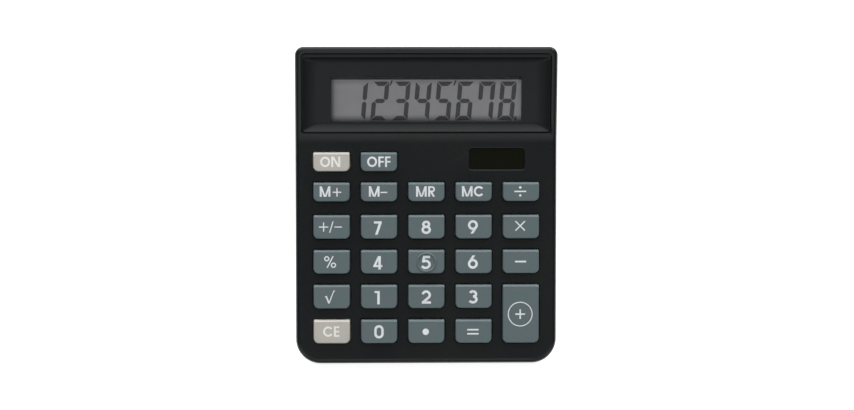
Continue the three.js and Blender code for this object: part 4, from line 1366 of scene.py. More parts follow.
@dataclass
class KeyField:
    """The 26 key caps with their legends. Sizes of ring and plus are millimetres."""

    case: CaseForm
    cap: KeyCap = field(default_factory=KeyCap)
    plunger_radius: float = 1.7 * MM
    ink_depth: float = 0.03 * MM
    ink_rise: float = 0.015 * MM
    cap_sharp: float = 24.0
    middle_key: str = "key_5"
    ring_radius: float = 3.65
    ring_width: float = 0.9
    ring_rise: float = 0.4
    ring_root: float = -0.1
    ring_shift: Point2 = (0.0, -0.2)
    ring_sharp: float = 50.0
    ring_sides: int = 64
    ring_steps: int = 8
    tall_key: str = "key_plus"
    plus_ring_radius: float = 4.8
    plus_ring_width: float = 0.4
    plus_reach: float = 3.9
    plus_width: float = 0.6
    plus_shift: Point2 = (-0.25, -0.1)
    light_keys: tuple[str, ...] = ("key_on", "key_ce")

    def places(self) -> list[KeyPlace]:
        """Returns the places of all keys."""
        names = sorted(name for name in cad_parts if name.startswith("key_"))
        return [self.cap.place(name, self.case.keyboard) for name in names]

    def build(self) -> None:
        """Makes every cap and its legend."""
        for key in self.places():
            self.make_cap(key)
            self.make_legend(key)

    def make_cap(self, key: KeyPlace) -> None:
        """Moulds one cap."""
        finish = KEY_LIGHT if key.node in self.light_keys else KEY_GREY
        cap = self.cap.mould(key, self.case.keyboard, self.plunger_radius)
        settle(cap, key.node, finish, key.node, sharp=self.cap_sharp)
        if key.node == self.middle_key:
            self.make_ring(key)

    def spot(self, key: KeyPlace, shift: Point2) -> Placer:
        """Returns what places a legend's millimetres on a key's top face."""
        face = self.case.keyboard
        proud = self.cap.proud

        def place(x: float, y: float, rise: float) -> Vector:
            """Returns the place of one point."""
            return face.point(key.x + (x + shift[0]) * MM, key.up + (y + shift[1]) * MM, proud + rise)

        return place

    def make_legend(self, key: KeyPlace) -> None:
        """Prints the legend of one key."""
        if key.node == self.tall_key:
            self.print_ink(key, self.plus_patches(), self.plus_shift, LEGEND)
            return
        legend = LEGENDS[key.node]
        finish = LIGHT_LEGEND if key.node in self.light_keys else LEGEND
        self.print_ink(key, legend.patches(), legend.shift, finish)

    def print_ink(self, key: KeyPlace, patches: list[Patch], shift: Point2, finish: Finish) -> None:
        """Prints patches on a key's top face."""
        name = f"legend_{key.label}"
        slab = flat_slab(patches, self.spot(key, shift), -self.ink_depth, self.ink_rise, name)
        settle(slab, key.node, finish, sharp=None)

    def plus_patches(self) -> list[Patch]:
        """Returns the patches of a plain plus in a plain ring."""
        reach = self.plus_reach / 2
        ring = glyph_ring((0.0, 0.0), (self.plus_ring_radius,) * 2, self.ring_sides)
        marks = (
            Stroke(tuple(ring), self.plus_ring_width, True),
            Stroke(((-reach, 0.0), (reach, 0.0)), self.plus_width),
            Stroke(((0.0, -reach), (0.0, reach)), self.plus_width),
        )
        return [patch for mark in marks for patch in mark.patches()]

    def make_ring(self, key: KeyPlace) -> None:
        """Adds the raised ring that lets the finger find the middle key."""
        half = self.ring_width / 2
        tops = arc((0.0, 0.0), (half, self.ring_rise), 0, 180, self.ring_steps)
        place = self.spot(key, self.ring_shift)
        skin = Skin()
        rings = []
        for offset, height in [(half, self.ring_root), *tops, (-half, self.ring_root)]:
            around = glyph_ring((0.0, 0.0), (self.ring_radius + offset,) * 2, self.ring_sides)
            rings.append(skin.ring(place(x, y, height * MM) for x, y in around))
        skin.hoop(rings)
        settle(skin.piece("finger_ring"), key.node, KEY_GREY, sharp=self.ring_sharp)


@dataclass
class Bezel:
    """The scooped gloss frame round the display."""

    case: CaseForm
    side_margin: float = 2.9 * MM
    front_margin: float = 3.3 * MM
    rear_margin: float = 3.25 * MM
    corner: float = 1 * MM
    groove: float = 0.36 * MM
    rim: float = 0.4 * MM
    rear_rim: float = 1.15 * MM
    side_rim: float = 0.22 * MM
    scoop_side: float = 6 * MM
    scoop_front: float = 3.1 * MM
    scoop_rear: float = 2.4 * MM
    depth: float = 2 * MM
    thickness: float = 1.2 * MM
    seat: float = 1.2 * MM
    ledge: float = 2 * MM
    opening_side: float = 11.4 * MM
    opening_front: float = 3.85 * MM
    opening_rear: float = 9.15 * MM
    opening_corner: float = 0.3 * MM
    rim_round: float = 0.2 * MM
    lip_round: float = 0.12 * MM
    front_bulge: float = 0.35
    scoop_spacing: float = 1.4
    scoop_steps: int = 14
    round_steps: int = 4
    sharp: float = 40.0

    @property
    def bottom(self) -> float:
        """Height of the underside, measured out of the display field."""
        return -self.depth - self.thickness

    @property
    def outline(self) -> Outline:
        """The bezel's outline on the display field."""
        width = 2 * (self.case.half_width - self.side_margin)
        rear = self.case.display_depth / math.cos(self.case.display_slope) - self.rear_margin
        return Outline(width, self.front_margin, rear, self.corner, self.corner)

    @property
    def opening(self) -> Outline:
        """The display's opening."""
        sides = (self.opening_side, self.opening_front, self.opening_rear)
        return self.outline.drawn_in(*sides, self.opening_corner)

    def scoop_ring(self, share: float) -> list[Vector]:
        """Returns one ring of the scoop, from the rim at 0 to the flat at 1."""
        drop = 1 - (1 - share) ** 2
        side = self.side_rim + self.scoop_side * share
        bulge = self.front_bulge * drop + (1 - self.front_bulge) * share
        front = self.rim + self.scoop_front * bulge
        rear = self.rear_rim + self.scoop_rear * share
        inner = self.outline.drawn_in(side, front, rear, self.corner)
        return inner.ring(self.case.display, -self.depth * drop)

    def build(self) -> None:
        """Makes the bezel."""
        face, whole, opening = self.case.display, self.outline, self.opening
        course = rounding(self.round_steps)
        shares = [(i / self.scoop_steps) ** self.scoop_spacing for i in range(self.scoop_steps + 1)]
        rim, lip = self.rim_round, self.lip_round
        rings = [
            whole.ring(face, self.bottom),
            *(whole.ring(face, -rim * down, -rim * inwards) for inwards, down in course),
            *(self.scoop_ring(share) for share in shares),
            *(opening.ring(face, -self.depth - lip * down, lip * inwards) for inwards, down in course[::-1]),
            opening.ring(face, self.bottom),
        ]
        skin = Skin()
        skin.hoop([skin.ring(ring) for ring in rings])
        settle(skin.piece("bezel"), Body.CASE.value, BEZEL, "display_bezel", sharp=self.sharp)


@dataclass
class Figures:
    """The figures that the display shows, as thin slabs on the glass. Lengths are millimetres."""

    case: CaseForm
    text: str = "12345678"
    pitch: float = 8.52
    first_right: float = -24.5
    low: float = 7.55
    height: float = 15.67
    width: float = 6.46
    thickness: float = 1.77
    gap: float = 0.2
    slant: float = math.tan(math.radians(4.8))
    glass_top: float = -4.6
    slab_low: float = 0.01
    slab_high: float = 0.06
    border_half: float = 39.3
    border_low: float = 24.05
    border_high: float = 27.8
    tick_places: tuple[int, ...] = (1, 4)
    tick_shift: Point2 = (1.35, 0.45)
    tick: tuple[Point2, ...] = ((0.0, 0.0), (-0.85, 0.0), (-1.15, -2.1), (-0.7, -2.1))
    point: tuple[Point2, ...] = ((0.2, 0.0), (1.3, 0.0), (1.3, 1.5), (0.2, 1.5))
    lit: tuple[tuple[str, str], ...] = (
        ("1", "bc"),
        ("2", "abged"),
        ("3", "abgcd"),
        ("4", "fgbc"),
        ("5", "afgcd"),
        ("6", "afgecd"),
        ("7", "abcf"),
        ("8", "abcdefg"),
    )

    def segments(self) -> dict[str, Patch]:
        """Returns the corners of the seven segments of one figure, upright."""
        w, h, t, g = self.width, self.height, self.thickness, self.gap
        middle = h / 2
        point = t / 2
        right_upper = [
            (w, h - g),
            (w - t, h - t - g),
            (w - t, middle + point + g / 2),
            (w - point, middle + g),
            (w, middle + point + g / 2),
        ]
        right_lower = [(x, h - y) for x, y in right_upper]
        return {
            "a": [(g, h), (w - g, h), (w - t - g, h - t), (t + g, h - t)],
            "d": [(g, 0), (t + g, t), (w - t - g, t), (w - g, 0)],
            "b": right_upper,
            "c": right_lower,
            "f": [(w - x, y) for x, y in right_upper],
            "e": [(w - x, y) for x, y in right_lower],
            "g": [
                (point + g, middle),
                (t + g, middle + point),
                (w - t - g, middle + point),
                (w - point - g, middle),
                (w - t - g, middle - point),
                (t + g, middle - point),
            ],
        }

    def build(self) -> None:
        """Makes the figures with their apostrophes and point, and the border."""
        shapes = self.segments()
        lit = dict(self.lit)
        patches = []
        for place, figure in enumerate(self.text):
            left = self.first_right + place * self.pitch - self.width
            patches.extend([(x + left, y) for x, y in shapes[name]] for name in lit[figure])
        for place in self.tick_places:
            right = self.first_right + place * self.pitch + self.tick_shift[0]
            top = self.height + self.tick_shift[1]
            patches.append([(right + x, top + y) for x, y in self.tick])
        last = self.first_right + (len(self.text) - 1) * self.pitch
        patches.append([(last + x, y) for x, y in self.point])
        self.lay(patches, self.slant, self.low, "display_figures", FIGURE)
        half, low, high = self.border_half, self.border_low, self.border_high
        border = [(-half, low), (half, low), (half, high), (-half, high)]
        self.lay([border], 0.0, 0.0, "display_border", BORDER)

    def lay(self, patches: list[Patch], slant: float, up: float, name: str, finish: Finish) -> None:
        """Lays a thin slab on the glass, slanted, and moved up the display field."""
        face = self.case.display

        def place(x: float, y: float, rise: float) -> Vector:
            """Returns the place of one point."""
            return face.point((x + y * slant) * MM, (y + up) * MM, self.glass_top * MM + rise)

        slab = flat_slab(patches, place, self.slab_low * MM, self.slab_high * MM, name)
        settle(slab, Body.CASE.value, finish, sharp=None)


@dataclass
class UpperHousing:
    """The upper housing: skin, roof, key holes, display frame, solar pocket, ribs and bosses."""

    case: CaseForm
    keys: KeyField
    bezel: Bezel
    lip_round: float = 0.22 * MM
    rib_thickness: float = 0.9 * MM
    rib_bottom: float = -4.4 * MM
    solar_sunk: float = 0.4 * MM
    window_thickness: float = 1 * MM
    solar_corner: float = 1 * MM
    solar_lip: float = 0.42 * MM
    solar_front_play: float = 0.1 * MM
    solar_ledge: float = 1.2 * MM
    solar_ledge_thickness: float = 0.9 * MM
    solar_rim: float = 1.4 * MM
    boss_radius: float = 1.9 * MM
    boss_bottom: float = -5.3 * MM
    boss_lean: float = 0.45 * MM
    same_column: float = 0.1 * MM
    column_digits: int = 5

    @property
    def window_seat(self) -> float:
        """Height of the ledge under the solar window, measured out of the key field."""
        return -self.solar_sunk - self.window_thickness - CLEARANCE

    @property
    def frame_bottom(self) -> float:
        """Height of the display frame's underside, measured out of the display field."""
        return self.bezel.bottom - CLEARANCE - self.bezel.ledge

    def solar_outline(self) -> Outline:
        """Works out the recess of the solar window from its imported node."""
        low, high = packed_box("solar_window")
        face = self.case.keyboard
        sine, cosine = math.sin(face.slope), math.cos(face.slope)
        grown = CLEARANCE / 2
        front = (low.y - self.solar_sunk * sine) / cosine - grown - self.solar_front_play
        rear = (high.y - (self.solar_sunk + self.window_thickness) * sine) / cosine + grown
        return Outline(high.x - low.x + 2 * grown, front, rear, self.solar_corner, self.solar_corner)

    def solar_face(self) -> SlopedFace:
        """Returns the key field with its origin under the middle of the solar window."""
        return self.case.keyboard.at(middle_of("solar_window")[0])

    def shell(self) -> Object:
        """Makes the skin and hollows it."""
        case = self.case
        skin = case.upper_form("upper_housing")
        cavity = case.core(case.wall, case.over_seam(-OVERRUN), case.roof_face)
        return carve(skin, [cavity, self.display_hole()], Carving.CUT)

    def display_hole(self) -> Object:
        """Returns the cutter of the hole inside the bezel's ledge."""
        bottom = self.frame_bottom - OVERRUN
        return self.bezel.outline.slab(self.case.display, bottom, OVERRUN, -self.bezel.seat)

    def display_frame(self) -> Object:
        """Makes the frame whose ledge carries the bezel."""
        case, outline = self.case, self.bezel.outline
        front = outline.front - self.bezel.groove - case.roof
        depth = outline.rear - front + case.wall
        size = (2 * case.half_width - case.wall, depth)
        middle = (0.0, front + depth / 2)
        frame_block = block(case.display, middle, size, self.frame_bottom, -case.roof + BOND)
        carve(frame_block, [case.upper_form()], Carving.SHARE)
        return carve(frame_block, [self.display_hole()], Carving.CUT)

    def tongue_room(self) -> Object:
        """Returns the cutter of the step for the lower housing's tongue."""
        case = self.case
        over = case.over_seam
        outer = case.core(case.lip, over(-OVERRUN), over(case.tongue + CLEARANCE))
        inner = case.core(case.wall + CLEARANCE, over(-2 * OVERRUN), over(case.tongue + OVERRUN))
        return carve(outer, [inner], Carving.CUT)

    def ribs(self, places: Sequence[KeyPlace]) -> list[Object]:
        """Makes the ribs between the columns of keys."""
        columns = sorted({round(key.x, self.column_digits) for key in places})
        ends = [max(key.rear for key in places if abs(key.x - x) < self.same_column) for x in columns]
        front = min(key.front for key in places)
        ribs = []
        for left, right, rear in zip(columns, columns[1:], map(min, ends, ends[1:])):
            middle = ((left + right) / 2, (front + rear) / 2)
            size = (self.rib_thickness, rear - front)
            ribs.append(block(self.case.keyboard, middle, size, self.rib_bottom, -self.case.roof + BOND))
        return ribs

    def bosses(self) -> list[Object]:
        """Makes the bosses that the board is screwed to."""
        face = self.case.keyboard
        bosses = []
        for corner in CORNERS:
            x, y = middle_of(f"board_screw_{corner}")
            up = (y - face.origin.y) / math.cos(face.slope) - self.boss_lean
            bosses.append(post(face, (x, up), self.boss_radius, self.boss_bottom, -self.case.roof + BOND))
        return bosses

    def openings(self, places: Sequence[KeyPlace]) -> list[Object]:
        """Returns the cutters of the key holes, the bezel's groove and the solar pocket."""
        case, bezel, cap = self.case, self.bezel, self.keys.cap
        under, spread = -case.roof - OVERRUN, cap.draft + CLEARANCE
        cutters = [
            cap.outline(key).opening(case.keyboard.at(key.x), under, self.lip_round, spread) for key in places
        ]
        seat = bezel.bottom - CLEARANCE
        cutters.append(bezel.outline.opening(case.display, seat, self.lip_round, bezel.groove))
        pocket, face = self.solar_outline(), self.solar_face()
        bottom = self.window_seat - self.solar_ledge_thickness - OVERRUN
        cutters.append(pocket.opening(face, self.window_seat, self.solar_lip))
        cutters.append(pocket.slab(face, bottom, OVERRUN, -self.solar_ledge))
        return cutters

    def build(self) -> None:
        """Makes the upper housing."""
        places = self.keys.places()
        shell = self.shell()
        seat = self.window_seat - self.solar_ledge_thickness
        top = -self.case.roof + BOND
        pocket = self.solar_outline().slab(self.solar_face(), seat, top, self.solar_rim)
        carve(shell, [self.display_frame(), pocket, *self.ribs(places), *self.bosses()], Carving.JOIN)
        carve(shell, [self.tongue_room(), *self.openings(places)], Carving.CUT)
        settle(shell, Body.CASE.value, HOUSING, "top_housing")


@dataclass
class LowerHousing:
    """The lower housing: a tray with tongue, screw wells, foot seats and the cell's cup."""

    case: CaseForm
    well_radius: float = 2.5 * MM
    well_wall: float = 0.9 * MM
    well_top: float = 1.4 * MM
    head_room: float = 1.45 * MM
    hole_radius: float = 1.15 * MM
    foot_seat: float = 0.7 * MM
    cover_corner: float = 2 * MM
    cover_room: float = 0.3 * MM
    pad_margin: float = 2 * MM
    pad_rise: float = 1.2 * MM
    cup_play: float = 0.35 * MM
    cup_wall: float = 1.2 * MM
    cup_height: float = 3.6 * MM
    slot_width: float = 5 * MM
    cover_boss_radius: float = 2.4 * MM
    cover_boss_height: float = 4 * MM
    cover_screw_room: float = 0.95 * MM

    def form(self) -> Object:
        """Makes the outer form with its tongue."""
        case = self.case
        edge = case.edge(case.bottom_edge, lambda y: case.base, -1)
        tub = loft([*reversed(edge), case.level(0.0, case.over_seam(-CLEARANCE))], "lower_housing")
        inset = case.lip + CLEARANCE
        tongue = case.core(inset, lambda y: case.base + case.floor / 2, case.over_seam(case.tongue))
        return carve(tub, [tongue], Carving.JOIN)

    def cavity(self) -> Object:
        """Returns the cutter of the tray's inside."""
        case = self.case
        return case.core(case.wall, lambda y: case.base + case.floor, case.over_seam(case.tongue + OVERRUN))

    def cover_outline(self) -> Outline:
        """Returns the outline of the battery cover's recess, about its own middle."""
        low, high = packed_box("battery_cover")
        width, front, rear = high.x - low.x + 2 * CLEARANCE, low.y - CLEARANCE, high.y + CLEARANCE
        return Outline(width, front, rear, self.cover_corner, self.cover_corner)

    def build(self) -> None:
        """Makes the lower housing."""
        case = self.case
        base, floor = case.base, case.base + case.floor
        under = base - OVERRUN
        wells, posts, holes, seats = [], [], [], []
        for corner in CORNERS:
            node = f"case_screw_{corner}"
            middle = middle_of(node)
            top = packed_box(node)[0].z + self.head_room + self.well_top
            outer = self.well_radius + self.well_wall
            posts.append(post(FLOOR_FACE, middle, outer, base + case.floor / 2, top))
            wells.append(post(FLOOR_FACE, middle, self.well_radius, under, top - self.well_top))
            holes.append(post(FLOOR_FACE, middle, self.hole_radius, under, top + OVERRUN))
        for name in FEET:
            low, high = packed_box(name)
            radius = (high.x - low.x) / 2 + CLEARANCE
            seats.append(post(FLOOR_FACE, middle_of(name), radius, under, base + self.foot_seat))
        tray = carve(self.form(), [self.cavity()], Carving.CUT)
        bound = self.form()
        trimmed = [carve(piece, [copy_of(bound)], Carving.SHARE) for piece in posts]
        bpy.data.objects.remove(bound)
        added, cutters = self.cell_cup(floor)
        carve(tray, [*trimmed, *added], Carving.JOIN)
        carve(tray, [*wells, *holes, *seats, *cutters], Carving.CUT)
        settle(tray, Body.CASE.value, HOUSING, "bottom_housing")

    def cell_cup(self, floor: float) -> tuple[list[Object], list[Object]]:
        """Makes the cup of the button cell and the cutters of its room.

        Args:
            floor: The height of the tray's floor.

        Returns:
            The solids to add, then the cutters.
        """
        low, high = packed_box("button_cell")
        middle, screw = middle_of("button_cell"), middle_of("battery_cover_screw")
        radius = (high.y - low.y) / 2 + self.cup_play
        face = FLOOR_FACE.at(middle_of("battery_cover")[0])
        recess = packed_box("battery_cover")[1].z + self.cover_room
        screw_top = packed_box("battery_cover_screw")[1].z + CLEARANCE
        outline = self.cover_outline()
        pad_top = recess + self.pad_rise
        cup_top = recess + self.cup_height
        added = [
            outline.slab(face, floor - BOND, pad_top, self.pad_margin),
            post(FLOOR_FACE, middle, radius + self.cup_wall, recess, cup_top),
            post(FLOOR_FACE, screw, self.cover_boss_radius, recess, recess + self.cover_boss_height),
        ]
        slot_middle = (middle[0] - radius - self.cup_wall / 2, middle[1])
        slot_size = (2 * self.cup_wall, self.slot_width)
        cutters = [
            outline.slab(face, self.case.base - OVERRUN, recess),
            post(FLOOR_FACE, middle, radius, self.case.base, cup_top + OVERRUN),
            block(FLOOR_FACE, slot_middle, slot_size, pad_top, cup_top + OVERRUN),
            post(FLOOR_FACE, screw, self.cover_screw_room, recess - OVERRUN, screw_top),
        ]
        return added, cutters


@dataclass
class BatteryDoor:
    """The cover of the button cell, flush in the floor, with a sunk screw."""

    corner: float = 1.7 * MM
    edge: float = 0.25 * MM
    edge_steps: int = 4
    sink_radius: float = 1.85 * MM
    sink_depth: float = 0.95 * MM
    hole_radius: float = 0.95 * MM

    def build(self) -> None:
        """Makes the cover."""
        low, high = packed_box("battery_cover")
        face = FLOOR_FACE.at(middle_of("battery_cover")[0])
        outline = Outline(high.x - low.x, low.y, high.y, self.corner, self.corner)
        rings = [
            outline.ring(face, low.z + self.edge * down, -self.edge * inwards)
            for inwards, down in reversed(rounding(self.edge_steps))
        ]
        cover = loft([*rings, outline.ring(face, high.z)], "cell_cover")
        middle = middle_of("battery_cover_screw")
        cutters = [
            post(FLOOR_FACE, middle, self.sink_radius, low.z - OVERRUN, low.z + self.sink_depth),
            post(FLOOR_FACE, middle, self.hole_radius, low.z, high.z + OVERRUN),
        ]
        carve(cover, cutters, Carving.CUT)
        settle(cover, Body.CASE.value, HOUSING, "battery_cover")


class ScrewTree:
    """A Geometry Nodes tree that sets cross recessed screws on points, heads down.

    Lengths and places of its parts are shares of the sizes that it is given.
    """

    NAME = "screws"
    SIZES = ("Head Radius", "Head Height", "Shank Radius", "Length", "Pitch", "Thread")
    HEAD_SIDES = 48
    CONE_HEIGHT = 0.45
    CONE_END = 0.72
    RECESS_REACH = 1.15
    RECESS_WIDTH = 0.26
    RECESS_PLACE = -0.85
    SHANK_SIDES = 32
    SHANK_PLACE = 0.499
    THREAD_LENGTH = 0.8
    THREAD_PLACE = 0.12
    THREAD_STEPS = 20
    THREAD_SIDES = 4

    def __init__(self) -> None:
        """Builds the tree."""
        self.tree = bpy.data.node_groups.new(self.NAME, "GeometryNodeTree")
        face = self.tree.interface
        face.new_socket("Places", in_out="INPUT", socket_type="NodeSocketGeometry")
        for name in self.SIZES:
            face.new_socket(name, in_out="INPUT", socket_type="NodeSocketFloat")
        face.new_socket("Finish", in_out="INPUT", socket_type="NodeSocketMaterial")
        face.new_socket("Screws", in_out="OUTPUT", socket_type="NodeSocketGeometry")
        self.nodes = NodeBuilder(self.tree)
        self.given = self.nodes.add("NodeGroupInput").outputs
        self.build()

    def share(self, name: str, factor: float) -> Socket:
        """Returns a share of a given size."""
        return self.nodes.math("MULTIPLY", self.given[name], factor)

    def lifted(self, mesh: bpy.types.Node, height: Value) -> Socket:
        """Returns a node's mesh moved up."""
        lift = self.nodes.add("ShaderNodeCombineXYZ", {"Z": height})
        inputs = {"Geometry": mesh.outputs[0], "Offset": lift.outputs[0]}
        return self.nodes.add("GeometryNodeSetPosition", inputs).outputs[0]

    def head(self) -> Socket:
        """Makes the domed head with its cross recess."""
        nodes, radius, height = self.nodes, self.given["Head Radius"], self.given["Head Height"]
        low = self.share("Head Height", self.CONE_HEIGHT)
        high = nodes.math("SUBTRACT", height, low)
        end = self.share("Head Radius", self.CONE_END)
        inputs = {"Vertices": self.HEAD_SIDES, "Radius Top": radius, "Radius Bottom": end, "Depth": low}
        cone = nodes.add("GeometryNodeMeshCone", inputs)
        inputs = {"Vertices": self.HEAD_SIDES, "Radius": radius, "Depth": high}
        drum = nodes.add("GeometryNodeMeshCylinder", inputs)
        solid = nodes.add("GeometryNodeMeshBoolean", operation=Carving.JOIN.value, solver="MANIFOLD")
        nodes.feed(solid.inputs["Mesh 2"], self.lifted(cone, self.share("Head Height", -1.0)))
        nodes.feed(solid.inputs["Mesh 2"], self.lifted(drum, nodes.math("MULTIPLY", high, -0.5)))
        inputs = {"Mesh 1": solid.outputs[0]}
        cut = nodes.add("GeometryNodeMeshBoolean", inputs, operation=Carving.CUT.value, solver="MANIFOLD")
        reach = self.share("Head Radius", self.RECESS_REACH)
        slot = self.share("Head Radius", self.RECESS_WIDTH)
        for width, depth in ((reach, slot), (slot, reach)):
            extent = nodes.add("ShaderNodeCombineXYZ", {"X": width, "Y": depth, "Z": height})
            bar = nodes.add("GeometryNodeMeshCube", {"Size": extent.outputs[0]})
            lifted = self.lifted(bar, self.share("Head Height", self.RECESS_PLACE))
            nodes.feed(cut.inputs["Mesh 2"], lifted)
        return cut.outputs[0]

    def shank(self) -> Socket:
        """Makes the shank with a thread wound round it."""
        nodes, radius = self.nodes, self.given["Shank Radius"]
        inputs = {"Vertices": self.SHANK_SIDES, "Radius": radius, "Depth": self.given["Length"]}
        rod = nodes.add("GeometryNodeMeshCylinder", inputs)
        height = self.share("Length", self.THREAD_LENGTH)
        inputs = {
            "Resolution": self.THREAD_STEPS,
            "Rotations": nodes.math("DIVIDE", height, self.given["Pitch"]),
            "Start Radius": radius,
            "End Radius": radius,
            "Height": height,
        }
        helix = nodes.add("GeometryNodeCurveSpiral", inputs)
        inputs = {"Resolution": self.THREAD_SIDES, "Radius": self.given["Thread"]}
        ridge = nodes.add("GeometryNodeCurvePrimitiveCircle", inputs)
        inputs = {"Curve": helix.outputs[0], "Profile Curve": ridge.outputs[0], "Fill Caps": True}
        thread = nodes.add("GeometryNodeCurveToMesh", inputs)
        joined = nodes.add("GeometryNodeJoinGeometry")
        nodes.feed(joined.inputs[0], self.lifted(thread, self.share("Length", self.THREAD_PLACE)))
        nodes.feed(joined.inputs[0], self.lifted(rod, self.share("Length", self.SHANK_PLACE)))
        return joined.outputs[0]

    def build(self) -> None:
        """Joins head and shank, sets them on the points and closes the tree."""
        nodes = self.nodes
        joined = nodes.add("GeometryNodeJoinGeometry")
        nodes.feed(joined.inputs[0], self.shank())
        nodes.feed(joined.inputs[0], self.head())
        inputs = {"Points": self.given["Places"], "Instance": joined.outputs[0]}
        copies = nodes.add("GeometryNodeInstanceOnPoints", inputs)
        real = nodes.add("GeometryNodeRealizeInstances", {0: copies.outputs[0]})
        inputs = {"Geometry": real.outputs[0], "Material": self.given["Finish"]}
        dressed = nodes.add("GeometryNodeSetMaterial", inputs)
        nodes.feed(nodes.add("NodeGroupOutput").inputs[0], dressed.outputs[0])

    def identifier(self, name: str) -> str:
        """Returns the identifier of a named input."""
        sockets = self.tree.interface.items_tree
        return next(s.identifier for s in sockets if s.name == name and s.in_out == "INPUT")


@dataclass
class ScrewSet:
    """Screws of one size that close the floor."""

    name: str
    nodes: tuple[str, ...]
    head_radius: float
    head_height: float
    shank_radius: float
    pitch: float
    thread_share: float = 0.14
    sharp: float = 30.0

    def build(self, tree: ScrewTree) -> None:
        """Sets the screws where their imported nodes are."""
        heads = [(*middle_of(node), packed_box(node)[0].z + self.head_height) for node in self.nodes]
        mesh = bpy.data.meshes.new("places")
        mesh.from_pydata(heads, [], [])
        piece = show(self.name, mesh)
        modifier = piece.modifiers.new("screws", "NODES")
        modifier.node_group = tree.tree
        low, high = packed_box(self.nodes[0])
        values = {
            "Head Radius": self.head_radius,
            "Head Height": self.head_height,
            "Shank Radius": self.shank_radius * (1 - self.thread_share),
            "Length": high.z - low.z - self.head_height,
            "Pitch": self.pitch,
            "Thread": self.shank_radius * self.thread_share,
            "Finish": STEEL.material(),
        }
        for name, value in values.items():
            modifier[tree.identifier(name)] = value
        bake(piece)
        settle(piece, Body.CASE.value, STEEL, *self.nodes, sharp=self.sharp)


@dataclass
class Keypad:
    """The silicone keypad. Under every key sits a hollow dome with a contact pill."""

    keys: KeyField
    dome_top: float = -3.2 * MM
    rise: float = 1.5 * MM
    foot: float = 3.35 * MM
    head: float = 2 * MM
    skin: float = 0.45 * MM
    root: float = 0.1 * MM
    edge: float = 0.25 * MM
    edge_steps: int = 4
    pill_radius: float = 1.2 * MM
    pill_drop: float = 0.5 * MM
    travel: float = 1.2 * MM
    play: float = 0.25 * MM
    sides: int = 36

    @property
    def sheet_top(self) -> float:
        """Height of the flat sheet, measured out of the key field."""
        return self.dome_top - self.rise

    def build(self) -> None:
        """Makes the sheet and its domes."""
        self.make_sheet()
        for key in self.keys.places():
            self.make_dome(key)

    def make_sheet(self) -> None:
        """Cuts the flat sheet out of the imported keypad."""
        sheet = copy_of(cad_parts["rubber_keypad"])
        sheet.name = "keypad_sheet"
        weld(sheet)
        reach = 4 * self.keys.case.half_length
        above = block(self.keys.case.keyboard, (0.0, 0.0), (reach, reach), self.sheet_top, reach)
        carve(sheet, [above], Carving.CUT)
        settle(sheet, Body.CASE.value, SILICONE, "rubber_keypad")

    def section(self) -> list[Point2]:
        """Returns a dome's radii and heights, up the inside, down to the foot and over the top."""
        top, edge = self.dome_top, self.edge
        ceiling = top - self.skin
        low = self.sheet_top - self.root
        return [
            (self.pill_radius, ceiling - self.pill_drop),
            (self.pill_radius, ceiling),
            (self.head - self.skin, ceiling),
            (self.foot - self.skin, low),
            (self.foot, low),
            (self.foot, self.sheet_top),
            *((self.head - edge * inwards, top - edge * down) for inwards, down in rounding(self.edge_steps)),
        ]

    def make_dome(self, key: KeyPlace) -> None:
        """Makes the dome under one key."""
        face = self.keys.case.keyboard
        dome = turned(face, (key.x, key.up), self.section(), f"dome_{key.label}", self.sides)
        settle(dome, Body.CASE.value, SILICONE)
        foot = face.point(key.x, key.up, self.sheet_top)
        out = face.point(key.x, key.up, self.dome_top) - foot
        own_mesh(dome)


@dataclass
class Feet:
    """Four round rubber feet in their seats."""

    edge: float = 0.5 * MM
    edge_steps: int = 6
    dish: float = 0.15 * MM
    dish_share: float = 0.62
    dish_course: tuple[Point2, ...] = ((0.9, 1.0), (1.0, 0.7), (1.06, 0.0))
    sides: int = 48
    sharp: float = 40.0

    def build(self) -> None:
        """Makes the feet."""
        for name in FEET:
            low, high = packed_box(name)
            radius = (high.x - low.x) / 2
            inner = radius * self.dish_share
            section = [
                *((inner * share, self.dish * depth) for share, depth in self.dish_course),
                *((radius - self.edge * b, self.edge * a) for a, b in rounding(self.edge_steps)),
                (radius, high.z - low.z),
            ]
            raised = [(r, low.z + height) for r, height in section]
            foot = turned(FLOOR_FACE, middle_of(name), raised, f"rubber_{name}", self.sides)
            settle(foot, Body.CASE.value, RUBBER, name, sharp=self.sharp)


class Inside:
    """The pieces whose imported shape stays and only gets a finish."""

    FINISHES = {
        "display_lens": LENS,
        "lcd_glass": DISPLAY,
        "lcd_reflector": FOIL,
        "lcd_holder": HOUSING,
        "lcd_ribbon": RIBBON,
        "solar_window": SOLAR_WINDOW,
        "solar_cell": SILICON,
        "solar_lead_red": RED_WIRE,
        "solar_lead_black": BLACK_WIRE,
        "main_board": LAMINATE,
        "controller_chip": RESIN,
        "capacitor": SLEEVE,
        "resistor": RESISTOR,
        "button_cell": NICKEL,
        "battery_contact_negative": NICKEL,
        "battery_contact_positive": NICKEL,
        **{f"board_screw_{corner}": STEEL for corner in CORNERS},
    }

    def build(self) -> None:
        """Dresses the pieces."""
        for node, finish in self.FINISHES.items():
            dress(node, finish)


@dataclass(frozen=True)
class Lamp:
    """A rectangular lamp that faces the calculator."""

    name: str
    place: tuple[float, float, float]
    size: Point2
    power: float
    mirrored: bool = True

    def hang(self) -> None:
        """Puts the lamp into the scene."""
        data = bpy.data.lights.new(self.name, "AREA")
        data.shape = "RECTANGLE"
        data.size, data.size_y = self.size
        data.energy = self.power
        lamp = show(self.name, data)
        lamp.location = self.place
        lamp.rotation_mode = "QUATERNION"
        lamp.rotation_quaternion = (-Vector(self.place)).to_track_quat("-Z", "Y")
        lamp.visible_glossy = self.mirrored


